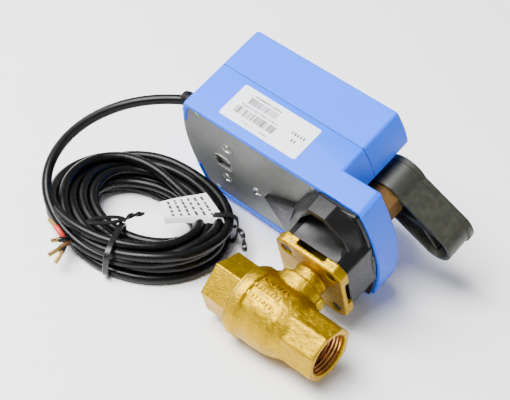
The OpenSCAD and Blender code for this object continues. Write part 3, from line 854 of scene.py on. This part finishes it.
def settled_coil(d):
    """The centreline in millimetres of a hand-wound coil, its turns settled on one another."""
    n = TURNS * PER_TURN
    phi = FIRST + np.arange(n) * 2 * math.pi / PER_TURN
    outer, inner = oval(COIL_AT, COIL_OUT, 0.86, phi), oval(HOLE_AT, HOLE_OUT, 1.0, phi)
    span = np.linalg.norm(outer - inner, axis=1)
    half, mid = span / 2 - d / 2 - 0.3, (outer + inner) / 2
    e = (outer - inner) / span[:, None]
    columns = [-16, 51, 118, 218]
    marks = sorted(
        (k * 360 + c, u, z) for k, row in enumerate(LAYERS) for c, (u, z) in zip(columns, row)
    )
    marks = np.array(marks, float)
    at = np.degrees(phi - FIRST)
    u, z = np.interp(at, marks[:, 0], marks[:, 1]), np.interp(at, marks[:, 0], marks[:, 2])
    for _ in range(20):
        u[1:-1] = 0.25 * u[:-2] + 0.5 * u[1:-1] + 0.25 * u[2:]
        z[1:-1] = 0.25 * z[:-2] + 0.5 * z[1:-1] + 0.25 * z[2:]
    rho = u * half
    rho_goal, z_goal = rho.copy(), z.copy()
    # the case hangs over the back right of the pile
    roof = np.where(mid[:, 0] < -99, 19.5, 16.0) - d / 2
    roof = np.where(mid[:, 1] < -22, 18.0 - d / 2, roof)
    steps = 700
    each = np.arange(TURNS)
    for step in range(steps):
        left = 1 - step / steps
        z -= 0.05 * left + 0.01
        rho += 0.012 * left * (rho_goal - rho)
        z += 0.012 * left * (z_goal - z)
        for _ in range(3):
            r2, z2 = rho.reshape(TURNS, PER_TURN), z.reshape(TURNS, PER_TURN)
            dr, dz = r2[:, None, :] - r2[None, :, :], z2[:, None, :] - z2[None, :, :]
            gap = np.sqrt(dr ** 2 + dz ** 2) + 1e-6
            push = np.clip(d * 1.01 - gap, 0, None) * 0.5
            push[each, each] = 0
            rho = rho + 0.6 * (push * dr / gap).sum(1).ravel()
            z = z + 0.6 * (push * dz / gap).sum(1).ravel()
            z = np.maximum(z, d / 2)
            rho = np.clip(rho, -half, half)
            z = np.where(z > roof, z - 0.3 * (z - roof), z)
        for line in (rho, z):
            line[1:-1] = 0.65 * line[1:-1] + 0.175 * (line[:-2] + line[2:])
    return np.concatenate([mid + e * rho[:, None], z[:, None]], 1)


LEAD_ROUTE = (
    (-97, -5, 63.5), (-101, -5.3, 63.8), (-105, -8.2, 63.8), (-110.5, -14, 62.6),
    (-118, -20.8, 59.4), (-126.5, -28, 54.6), (-134, -34.6, 47.6), (-140, -41.5, 39),
    (-143.4, -48.5, 31), (-142.5, -55, 24.6), (-138.6, -61.6, 18.6), (-132, -67.8, 13.4),
)


SKIPPED = 5  # points of the coil's first turn that the lead's own way in replaces


def lead_line():
    """The whole lead's centreline, from the grommet to the end of the sheath."""
    d = settings().cable_diameter / MM
    coil = settled_coil(d)
    points = [Vector(p) for p in LEAD_ROUTE] + [Vector(p) for p in coil[SKIPPED:].tolist()]
    # the end turns out of the pile at the front left, where the sheath stops
    last = points[-1]
    tail = ((-113.5, -68.5, max(last.z, 6.5)), (-108.5, -71.5, 9.0), (-106.2, -73.0, 9.3))
    points += [Vector(t) for t in tail if (Vector(t) - last).length > 2]
    line = smooth_line([p * MM + LAY for p in points], 0.0022)
    # the lead eases into the outermost turn without a kink
    low = d / 2 * MM
    for passes, last in ((60, 110), (14, len(line) - 1)):
        for _ in range(passes):
            for i in range(1, last):
                line[i] = line[i] * 0.5 + (line[i - 1] + line[i + 1]) * 0.25
                line[i].z = max(line[i].z, low)
    return line


# Conductors fanned out of the sheath: (name, finish, where the tip lies, radius)
FAN = (
    ("red", "red core", (-118.5, -72.6, 13.0), 1.3),
    ("black", "tie", (-109.0, -79.5, 10.0), 1.3),
    ("brown", "brown core", (-103.8, -86.0, 8.2), 1.3),
    ("plain", "tie", (-98.0, -87.0, 8.0), 1.25),
)
# Ties round the bundle: (name, angle outside, angle inside, share of the width, twisted end)
TIES = (
    ("front", 293, 277, 1, ((-91.2, -50.9, 17.8), (-91.6, -44.5, 17.4), (-91.3, -37.4, 14.6))),
    ("back", 35, 35, 0.62, ((-58.2, -8.4, 12.0), (-52.5, -8.2, 10.5), (-46.0, -13.0, 6.5))),
)
TIE_TOP = 17.6
TAG_CORNERS = ((-89.5, -28.5, 0), (-79.5, -6.3, 0), (-60.7, -12.7, 0), (-78.4, -35.6, 0))
TAG_TOP, TAG_ALONG, TAG_ACROSS = 18.0, 26, 22


class BALLVALVE_OT_lead(bpy.types.Operator):
    """Lays the flexible lead from the grommet into its coil, with its ties, tag and bared ends"""

    bl_idname = "ball_valve.lead"
    bl_label = "Lead and coil"

    def cores(self, line):
        """Bared conductors, each with seven twisted strands at its stripped tip."""
        pieces = []
        root = line[-1]
        heading = (line[-1] - line[-3]).normalized()
        side = heading.cross(VERTICAL).normalized()
        rise = side.cross(heading)
        for k, (label, finish, tip, r) in enumerate(FAN):
            a = math.pi / 2 * k + 0.6
            start = root - heading * 0.003 + (side * math.cos(a) + rise * math.sin(a)) * 0.0012
            mouth = start + heading * 0.005
            end = Vector(tip) * MM + LAY
            middle = mouth.lerp(end, 0.5) + Vector((0, 0, 0.0012)) + heading * 0.002
            way = smooth_line([start, mouth, middle, end], 0.0008)
            cut = max(3, int(len(way) * 0.68))
            shape = sweep(way[: cut + 1], ring_outline(r * MM, 14))
            pieces.append(piece("core_" + label, shape, finish, "cable_cores"))
            bare = way[cut - 1 :]
            strands = []
            for strand in range(7):
                o = 0 if strand == 6 else 0.68 * MM
                pts = []
                for i, p in enumerate(bare):
                    t = (bare[min(i + 1, len(bare) - 1)] - bare[max(i - 1, 0)]).normalized()
                    su = t.cross(VERTICAL).normalized()
                    sv = su.cross(t)
                    w = strand * math.pi / 3 + i * 0.22
                    pts.append(p + (su * math.cos(w) + sv * math.sin(w)) * o)
                strands.append(sweep(pts, ring_outline(0.37 * MM, 7)))
            name = "strands_" + label
            pieces.append(
                piece(name, joined(strands), "tinned copper", "cable_cores")
            )
        return pieces

    def ties(self):
        """Two ties round the bundle, each a folded strip with its ends twisted together."""
        pieces = []
        for label, outer_deg, inner_deg, share, tails in TIES:
            outer = oval(COIL_AT, COIL_OUT, 0.86, np.array([math.radians(outer_deg)]))[0]
            inner = oval(HOLE_AT, HOLE_OUT, 1.0, np.array([math.radians(inner_deg)]))[0]
            a, b = Vector((*outer, 0)), Vector((*inner, 0))
            if share < 1:
                b = a.lerp(b, share)
            e = (a - b).normalized()
            wide = (a - b).length
            loop, middle = [], (a + b) / 2
            for c, q in squared_ring(40, 0.55, 0.6):
                z = q * (TIE_TOP / 2 - 0.15) + TIE_TOP / 2 + 0.35
                place = middle + e * (c * (wide / 2 + 1.0)) + Vector((0, 0, z))
                loop.append(place * MM + LAY)
            strip = flat_outline(1.0 * MM, 2.9 * MM)
            shape = sweep(loop, strip, closed=True, up=e.cross(VERTICAL))
            pieces.append(piece("tie_" + label, shape, "tie", "coil_tie_" + label))
            knot = [Vector(p) * MM + LAY for p in tails]
            way = smooth_line(knot, 0.0006)
            twist = [0.35 * i for i in range(len(way))]
            shapes = [sweep(way, flat_outline(2.6 * MM, 1.2 * MM), twist=twist)]
            if label == "front":
                shapes.append(sweep(self.bow(knot[0]), flat_outline(2.2 * MM, 1.0 * MM)))
            pieces.append(
                piece("knot_" + label, joined(shapes), "tie", "coil_tie_" + label)
            )
        return pieces

    def bow(self, start):
        """A loop of strip lying beside the knot."""
        points = []
        for k in range(21):
            w = math.pi * 2 * k / 20
            c, q = 1 - math.cos(w), math.sin(w)
            x, y, z = -q * 0.0012 - 0.0045 * c, -0.0069 * c + q * 0.0018, 0.0010 + 0.0003 * c
            points.append(start + Vector((x, y, z)))
        return points

    def tag(self):
        """The paper tag, lying over the strands, and its rows of printed strokes."""
        corners = [Vector(c) for c in TAG_CORNERS]
        nu, nv = TAG_ALONG, TAG_ACROSS
        grid = []
        for i in range(nu + 1):
            for j in range(nv + 1):
                x, y = i / nu, j / nv
                p = corners[0].lerp(corners[3], x).lerp(corners[1].lerp(corners[2], x), y)
                lift = TAG_TOP + 0.5 * math.sin(3.0 * x + 1.2 * y) + 0.35 * math.sin(5 * y)
                lift -= 2.6 * max(0, x - 0.8) / 0.2 * max(0, x - 0.8) / 0.2
                grid.append(Vector((p.x, p.y, lift)) * MM + LAY)

        def cell(i, j):
            return i * (nv + 1) + j

        faces = [
            (cell(i, j), cell(i + 1, j), cell(i + 1, j + 1), cell(i, j + 1))
            for i in range(nu)
            for j in range(nv)
        ]
        sheet = mesh_of("tag_sheet", grid, faces, recalc=False)
        sheet = with_modifiers(sheet, ("SOLIDIFY", {"thickness": 0.16 * MM, "offset": -1.0}))
        paper = look("tag paper")
        sheet = plain_object("tag_sheet", sheet, paper, "base", ("cable_tag",))

        marks = []
        rng = np.random.default_rng(7)
        for row in range(6):
            j0, j1 = 3 + row * 3, 4 + row * 3
            i = 3
            while i < nu - 5:
                run = int(rng.integers(2, 5))
                quads = [grid[cell(min(i + k, nu - 4), j)] for j in (j0, j1) for k in (0, run)]
                verts = []
                for q in quads:
                    verts += [q + Vector((0, 0, 0.00005)), q + Vector((0, 0, 0.00016))]
                ids = (0, 2, 6, 4)
                faces = [ids[::-1], tuple(k + 1 for k in ids)]
                for a, b in zip(ids, ids[1:] + ids[:1]):
                    faces.append((a, b, b + 1, a + 1))
                marks.append((verts, faces))
                i += run + int(rng.integers(1, 3))
        print_piece = piece("tag_print", joined(marks), "print black", "cable_tag")
        return [sheet, print_piece]

    def execute(self, context):
        s = settings()
        line = lead_line()
        curve = bpy.data.curves.new("lead_and_coil", "CURVE")
        curve.dimensions = "3D"
        curve.bevel_depth = s.cable_diameter / 2
        curve.bevel_resolution = 3
        curve.resolution_u = 1
        curve.use_fill_caps = True
        spline = curve.splines.new("POLY")
        spline.points.add(len(line) - 1)
        for point, place in zip(spline.points, line):
            point.co = (*place, 1)
        lead = bpy.data.objects.new("lead_and_coil", curve)
        context.scene.collection.objects.link(lead)
        curve.materials.append(look("cable"))
        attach(lead, "base")
        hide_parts("cable_lead", "cable_coil")
        pieces = self.cores(line) + self.ties() + self.tag()
        return {"FINISHED"}


# ---------------------------------------------------------------- the actuator case


# Where the cover's screws stand, and where the plate's rivets do with their radii
SCREWS = ((-86.4, -29.4), (-86.4, 29.4), (-15, -28.8), (-15, 28.8))
RIVETS = ((-70.8, -14.4, 2.9), (-76.8, 14.3, 2.9), (-56.3, 8.8, 2.7))
SHANK = ((0.0001, 0.6), (1.3, 0.6), (1.5, 0.8), (1.5, 51.2), (0.0001, 51.2))
HEAD_MIDDLE = 51.75
SCREW_END = (
    (0.0001, 1.6), (0.0001, 0.35), (0.55, 0.3), (0.7, 0.7),
    (1.1, 0.7), (1.3, 0.35), (1.5, 0.5), (1.52, 1.6),
)
WINDOW_AT, WINDOW_HALF, WINDOW_FLOOR_HALF = (-76.2, 0.7), 4.5, 4.4
# The label's ends along the case, its heights, and the side face it lies on
LABEL_ENDS, LABEL_HEIGHTS, LABEL_FACE = (-75.8, -29.2), (5.2, 24.8), -34.68
# Printed rows: (name, from, to, step, height, stroke width, stroke length, unevenness, seed)
PRINT = (
    ("label_bars_upper", -67.9, -51.2, 0.72, 18.8, 0.36, 3.5, 0.75, 5),
    ("label_bars_lower", -70.7, -46.6, 0.80, 11.8, 0.42, 4.1, 0.75, 9),
    ("label_row_top", -66.5, -51.0, 1.35, 21.9, 0.75, 1.0, 0.5, 11),
    ("label_row_middle", -69.4, -48.4, 1.15, 15.3, 0.65, 0.9, 0.5, 12),
    ("label_row_last", -63.2, -56.0, 1.0, 7.4, 0.5, 0.7, 0.5, 13),
    ("label_row_end", -52.4, -47.8, 1.0, 7.4, 0.5, 0.7, 0.5, 14),
    ("label_note_upper", -39.6, -32.4, 1.7, 16.2, 1.0, 1.5, 0.35, 15),
    ("label_note_lower", -37.2, -34.6, 1.7, 12.6, 1.0, 1.5, 0.35, 16),
)


def screw_at(x, y):
    return SEAT @ Matrix.Translation((x * MM, y * MM, 0))


class BALLVALVE_OT_case(bpy.types.Operator):
    """Rounds the moulded case and cover, and adds screws, label, rivet rims and the window"""

    bl_idname = "ball_valve.case"
    bl_label = "Actuator case"

    def seam(self):
        """A fine dark line where the cover meets the lower case."""
        bm = merged_copy("housing_cover", flat=True)
        back = SEAT.inverted()
        middle = Vector((-44.0, 0.0, PARTING))
        strips = []
        for e in bm.edges:
            ends = [back @ v.co / MM for v in e.verts]
            if any(abs(p.z - PARTING) > 0.1 for p in ends):
                continue
            for face in e.link_faces:
                n = back.to_3x3() @ face.normal
                if abs(n.z) > 0.3 or n.dot((ends[0] + ends[1]) / 2 - middle) < 6:
                    continue
                verts = []
                for p in ends:
                    for out, up in ((-0.3, -0.14), (0.035, -0.14), (0.035, 0.14), (-0.3, 0.14)):
                        verts.append(seat(*(p + n * out + Vector((0, 0, up)))))
                sides = [(k, 4 + k, 4 + (k + 1) % 4, (k + 1) % 4) for k in range(4)]
                strips.append((verts, [(0, 1, 2, 3), (7, 6, 5, 4), *sides]))
                break
        bm.free()
        piece("case_seam", joined(strips), "seam blue")

    def window(self):
        """The square opening: a raised, rolled rim and the bright plate behind it."""
        cx, cy = WINDOW_AT
        ring = squared_ring(48, 0.28, 0.28)
        rim = [seat(cx + c * WINDOW_HALF, cy + q * WINDOW_HALF, 0.45) for c, q in ring]
        shape = sweep(rim, flat_outline(0.7 * MM, 0.7 * MM), closed=True, up=UP)
        piece("window_rim", shape, "bright steel")
        half, corners = WINDOW_FLOOR_HALF, ((-1, -1), (1, -1), (1, 1), (-1, 1))
        v = [seat(cx + a * half, cy + b * half, z) for z in (2.25, 2.55) for a, b in corners]
        f = [(0, 3, 2, 1), (4, 5, 6, 7)] + prism_sides(4)
        piece("window_floor", (v, f), "bright steel")

    def label(self):
        """The label sheet with rounded corners, its printed bars and small rows."""
        (x0, x1), (z0, z1), y = LABEL_ENDS, LABEL_HEIGHTS, LABEL_FACE
        corners = ((x1 - 1, z1 - 1), (x0 + 1, z1 - 1), (x0 + 1, z0 + 1), (x1 - 1, z0 + 1))
        out = []
        for k, (cx, cz) in enumerate(corners):
            for i in range(7):
                w = math.radians(90 * k + 15 * i)
                out.append((cx + math.cos(w), cz + math.sin(w)))
        v = [seat(x, y + t, z) for t in (-0.08, 0.14) for x, z in out]
        n = len(out)
        f = [tuple(range(n)), tuple(range(2 * n))[n:][::-1]] + prism_sides(n)
        piece("label_sheet", (v, f), "label white", "side_label")

        sheet_y = (y - 0.12) * MM
        face = SEAT @ Matrix(((1, 0, 0, 0), (0, 0, -1, sheet_y), (0, 1, 0, 0), (0, 0, 0, 1)))
        for name, start, stop, step, z, wide, tall, uneven, seed in PRINT:
            count = int((stop - start) / step) + 1
            run_tree(
                name,
                strokes_tree(),
                "print grey",
                {
                    "Width": wide * MM, "Length": tall * MM, "Rise": 0.05 * MM,
                    "Uneven": uneven, "Seed": seed,
                },
                face,
                points=[((start + step * k) * MM, z * MM, 0) for k in range(count)],
                smooth=0,
            )

    def execute(self, context):
        edge = settings().case_edge / MM

        def away_from_seam(ends):
            return any(abs(p.z - PARTING) > 0.3 for p in ends)

        for name, node in (("case_lower", "housing_case"), ("case_cover", "housing_cover")):
            softened(
                name, node, edge, "case blue", angle=40, choose=away_from_seam
            )
        self.seam()
        softened("steel_plate", "base_plate", 0.3, "galvanised", segments=2)
        softened("grommet", "cable_grommet", 0.3, "seal rubber", segments=2)

        run_tree(
            "cover_heads",
            heads_tree(),
            "bright steel",
            {"Radius": 2.75 * MM, "Height": 1.8 * MM, "Recess": 0.8 * MM},
            SEAT @ Matrix.Translation((0, 0, HEAD_MIDDLE * MM)),
            points=[(x * MM, y * MM, 0) for x, y in SCREWS],
            replaces=("cover_screws",),
            smooth=30,
        )
        shanks = joined(lathe(SHANK, 24, screw_at(x, y)) for x, y in SCREWS)
        piece("cover_shanks", shanks, "bright steel", "cover_screws")

        # turned-over rivet rims, with the shank set back inside
        for k, (x, y, r) in enumerate(RIVETS):
            profile = (
                (0.0001, 0.62), (0.0001, 0.30), (r * 0.46, 0.26), (r * 0.50, 0.52),
                (r * 0.66, 0.52), (r * 0.70, 0.08), (r * 0.86, -0.02), (r, 0.16), (r + 0.05, 0.62),
            )
            shape = lathe(profile, 40, screw_at(x, y))
            piece(f"rivet_{k}", shape, "bright steel", "plate_rivets")

        # a screw's end showing in the corner hole by the label side
        end = lathe(SCREW_END, 28, screw_at(*SCREWS[0]))
        piece("corner_screw_end", end, "green zinc")
        self.window()
        self.label()
        return {"FINISHED"}


# ---------------------------------------------------------------- the valve


PORT_END = 32.0  # how far each port's face stands from the stem, in millimetres
PORT_RING = (
    (10.42, PORT_END - 15), (10.62, PORT_END - 15), (10.75, PORT_END - 1.9),
    (11.9, PORT_END - 0.25), (11.9, PORT_END + 0.06), (11.7, PORT_END + 0.08),
    (10.45, PORT_END - 1.3),
)
SHOULDER = (
    (13.2, 15.24), (16.7, 15.24), (17.0, 15.5), (17.0, 16.2), (16.6, 16.7), (13.2, 17.2),
)
THREAD_TURNS = 7
# Rows of cast marks: (degrees round the barrel, where the row starts, how many)
CAST_ROWS = ((-25.0, -10.6, 8), (-7.0, -9.4, 7), (10.0, -9.8, 7))
# Outside this radius and below this height the casting's skin is rough
BORE_SIDE, FLANGE_SIDE, ROUGHNESS = 11.6, -18.6, 0.16


class BALLVALVE_OT_valve(bpy.types.Operator):
    """Builds the sand-cast valve with its collar, cut threads and cast marks"""

    bl_idname = "ball_valve.valve"
    bl_label = "Brass valve"

    def cast(self, cell):
        """Softens the body's casting and roughens its skin, leaving the machined bores true."""
        bm = merged_copy("valve_body")
        mesh = bpy.data.meshes.new("valve_casting")
        bm.to_mesh(mesh)
        bm.free()
        mesh = with_modifiers(
            mesh,
            ("REMESH", {"mode": "VOXEL", "voxel_size": cell, "use_smooth_shade": True}),
            ("SMOOTH", {"factor": 0.5, "iterations": 2}),
        )
        bm = bmesh.new()
        bm.from_mesh(mesh)
        bm.normal_update()
        back = SEAT.inverted()
        for v in bm.verts:
            p = back @ v.co / MM
            if math.hypot(p.y, p.z - PIPE / MM) < BORE_SIDE or p.z > FLANGE_SIDE:
                continue
            n = noise.noise(v.co * 420) + 0.5 * noise.noise(v.co * 1100)
            v.co += v.normal * n * ROUGHNESS * MM
        bm.to_mesh(mesh)
        bm.free()
        mesh.name = "valve_casting"
        mesh.polygons.foreach_set("use_smooth", [True] * len(mesh.polygons))
        brass = look("cast brass")
        plain_object("valve_casting", mesh, brass, "base", ("valve_body",), smooth=0)

    def execute(self, context):
        s = settings()
        self.cast(s.cast_edge)
        softened(
            "valve_end", "end_connector", 0.5, "cast brass", angle=28, segments=2
        )
        softened(
            "adapter_moulding", "mounting_adapter", 0.45, "black plastic",
            segments=2,
        )
        softened("stem_collar", "gland_nut", 0.4, "cast brass", segments=2)
        pipe = SEAT @ Matrix.Translation((0, 0, PIPE))

        # the screwed-in end's shoulder, bearing on the joint ring
        shoulder = lathe(SHOULDER, 96, pipe @ Matrix.Rotation(-math.pi / 2, 4, "Y"))
        piece("end_shoulder", shoulder, "cast brass")

        # machined faces and cut threads of the two ports
        for label, sign in (("near", 1), ("far", -1)):
            at = pipe @ Matrix.Rotation(math.pi / 2 * sign, 4, "Y")
            piece(f"bore_{label}", lathe(PORT_RING, 96, at), "thread brass")
            run_tree(
                f"thread_{label}",
                helix_tree(),
                "thread brass",
                {
                    "Radius": 10.55 * MM, "Height": s.thread_pitch * THREAD_TURNS,
                    "Turns": float(THREAD_TURNS), "Section": 0.62 * MM, "Sides": 6,
                },
                at @ Matrix.Translation((0, 0, (PORT_END - 14.3) * MM)),
                smooth=30,
            )

        # cast-in strokes on the side of the barrel, generic
        for k, (turn, x_from, count) in enumerate(CAST_ROWS):
            # each row lies along the pipe, turned about its axis from straight out to the side
            run_tree(
                f"cast_marks_{k}",
                strokes_tree(),
                "cast brass",
                {
                    "Width": 1.15 * MM, "Length": 1.9 * MM, "Rise": 1.1 * MM,
                    "Uneven": 0.45, "Turn": 0.6, "Seed": 4 + k,
                },
                pipe @ Matrix.Rotation(math.radians(90 + turn), 4, "X"),
                points=[((x_from + 2.1 * i) * MM, 0, MARK_RADIUS * MM) for i in range(count)],
                smooth=30,
            )
        return {"FINISHED"}


# ---------------------------------------------------------------- the handle


class BALLVALVE_OT_handle(bpy.types.Operator):
    """Rounds the override handle and the release button"""

    bl_idname = "ball_valve.handle"
    bl_label = "Handle and button"

    def execute(self, context):
        softened(
            "handle_moulding", "handle", 0.7, "handle plastic",
            body="drive", angle=32,
        )
        softened(
            "button_cap", "release_button", 0.35, "button blue",
            body="button", segments=2,
        )
        return {"FINISHED"}


# ---------------------------------------------------------------- the inside


# The finish of each slot, for the CAD's own shapes
FINISH_OF_SLOT = {
    "brass": "machined brass", "bronze": "bronze", "chrome_ball": "ball chrome",
    "ptfe": "white seat", "seal_rubber": "seal rubber", "galvanised_steel": "galvanised",
    "plated_steel": "bright steel", "blue_plastic": "case blue", "button_plastic": "button blue",
    "black_plastic": "black plastic", "acetal": "acetal", "motor_can": "motor can",
    "board_green": "board", "terminal_green": "terminal", "capacitor_black": "sleeve",
    "relay_blue": "relay", "label_paper": "label white", "cable_jacket": "cable",
    "core_wires": "red core", "tie_plastic": "tie", "tag_paper": "tag paper",
}


class BALLVALVE_OT_inside(bpy.types.Operator):
    """Gives the parts inside their finishes, and winds the button's spring"""

    bl_idname = "ball_valve.inside"
    bl_label = "Gear train and board"

    def execute(self, context):
        for node in NODES.values():
            slot = node.data.materials[0].name.split(".")[0]
            node.data.materials.clear()
            node.data.materials.append(look(FINISH_OF_SLOT[slot]))
            for face in node.data.polygons:
                face.material_index = 0
        run_tree(
            "spring_wire",
            helix_tree(),
            "bright steel",
            {
                "Radius": 2.25 * MM, "Height": 1.6 * MM, "Turns": 2.5,
                "Section": 0.2 * MM, "Sides": 10,
            },
            SEAT @ Matrix.Translation((14 * MM, 3 * MM, 2.4 * MM)),
            replaces=("button_spring",),
        )
        return {"FINISHED"}


# ---------------------------------------------------------------- camera, light and floor


# Soft lights: (name, place, aim, size, watts)
LIGHTS = (
    ("key", (-0.32, -0.46, 1.15), (-0.03, -0.02, 0.02), 0.8, 53.0),
    ("left", (-0.95, -0.30, 0.75), (-0.05, -0.02, 0.02), 0.8, 13.0),
    ("right", (0.90, -0.55, 0.35), (0, 0, 0.02), 0.5, 0.5),
)
ROOM_LIGHT = 0.34
# The camera's place, the way it looks, its roll in degrees and its lens in millimetres
EYE_AT, EYE_AHEAD = (0.2910, -0.4142, 0.4552), (-0.46435, 0.61570, -0.63663)
EYE_ROLL, EYE_LENS = 7.9, 99.5
FLOOR = (
    [(-4, -3, 0), (4, -3, 0), (4, 1.6, 0), (-4, 1.6, 0), (4, 3.0, 2.4), (-4, 3.0, 2.4)],
    [(0, 1, 2, 3), (3, 2, 4, 5)],
)
FLOOR_DROP = 0.00015


class BALLVALVE_OT_stage(bpy.types.Operator):
    """Sets the floor, the soft lights and the camera"""

    bl_idname = "ball_valve.stage"
    bl_label = "Stage"

    def execute(self, context):
        scene = context.scene
        floor = mesh_of("floor", *FLOOR, recalc=False)
        pale = tuple(settings().floor_colour)
        mat = finish_of(
            "Pale floor", pale, tuple(c * 0.985 for c in pale), patch=3, gloss=(0.55, 0.65),
            fine=300, coarse=30, bump=0.02,
        )
        ground = bpy.data.objects.new("floor", floor)
        floor.materials.append(mat)
        scene.collection.objects.link(ground)
        ground.location.z = -FLOOR_DROP

        for name, at, aim, size, power in LIGHTS:
            lamp = bpy.data.lights.new(name, "AREA")
            lamp.shape = "RECTANGLE"
            lamp.size = lamp.size_y = size
            lamp.energy = power
            o = bpy.data.objects.new(name, lamp)
            o.location = at
            o.rotation_euler = (Vector(aim) - Vector(at)).to_track_quat("-Z", "Y").to_euler()
            scene.collection.objects.link(o)
        world = bpy.data.worlds.new("Soft room")
        world.use_nodes = True
        world.node_tree.nodes["Background"].inputs[0].default_value = (1, 1, 1, 1)
        world.node_tree.nodes["Background"].inputs[1].default_value = ROOM_LIGHT
        scene.world = world

        lens = bpy.data.cameras.new("camera")
        lens.lens, lens.sensor_width = EYE_LENS, 36
        lens.clip_start, lens.clip_end = 0.01, 20
        eye = bpy.data.objects.new("camera", lens)
        scene.collection.objects.link(eye)
        ahead = Vector(EYE_AHEAD).normalized()
        level = ahead.cross(VERTICAL).normalized()
        rise = level.cross(ahead)
        roll = math.radians(EYE_ROLL)
        right = level * math.cos(roll) + rise * math.sin(roll)
        top = rise * math.cos(roll) - level * math.sin(roll)
        turn = Matrix((right, top, -ahead)).transposed()
        eye.matrix_world = Matrix.Translation(EYE_AT) @ turn.to_4x4()
        scene.camera = eye
        return {"FINISHED"}


class BALLVALVE_PT_panel(bpy.types.Panel):
    """Builds the object piece by piece"""

    bl_idname = "BALLVALVE_PT_panel"
    bl_label = "Motorised ball valve"
    bl_space_type = "VIEW_3D"
    bl_region_type = "UI"
    bl_category = "Ball valve"

    def draw(self, context):
        layout = self.layout
        s = context.scene.ball_valve
        for group, field in (
            (s.colours, "case_blue"), (s.colours, "brass"), (s, "case_edge"), (s, "cast_edge"),
            (s, "cable_diameter"), (s, "thread_pitch"), (s, "floor_colour"),
        ):
            layout.prop(group, field)
        for operator in OPERATORS:
            layout.operator(operator.bl_idname)


OPERATORS = (
    BALLVALVE_OT_stage,
    BALLVALVE_OT_inside,
    BALLVALVE_OT_lead,
    BALLVALVE_OT_case,
    BALLVALVE_OT_valve,
    BALLVALVE_OT_handle,
)
CLASSES = (BallValveColours, BallValveSettings, *OPERATORS, BALLVALVE_PT_panel)


def register():
    for cls in CLASSES:
        bpy.utils.register_class(cls)
    bpy.types.Scene.ball_valve = bpy.props.PointerProperty(type=BallValveSettings)


def unregister():
    del bpy.types.Scene.ball_valve
    for cls in reversed(CLASSES):
        bpy.utils.unregister_class(cls)


def main():
    register()
    bpy.ops.ball_valve.stage()
    bpy.ops.ball_valve.inside()
    bpy.ops.ball_valve.lead()
    bpy.ops.ball_valve.case()
    bpy.ops.ball_valve.valve()
    bpy.ops.ball_valve.handle()


if __name__ == "__main__":
    main()
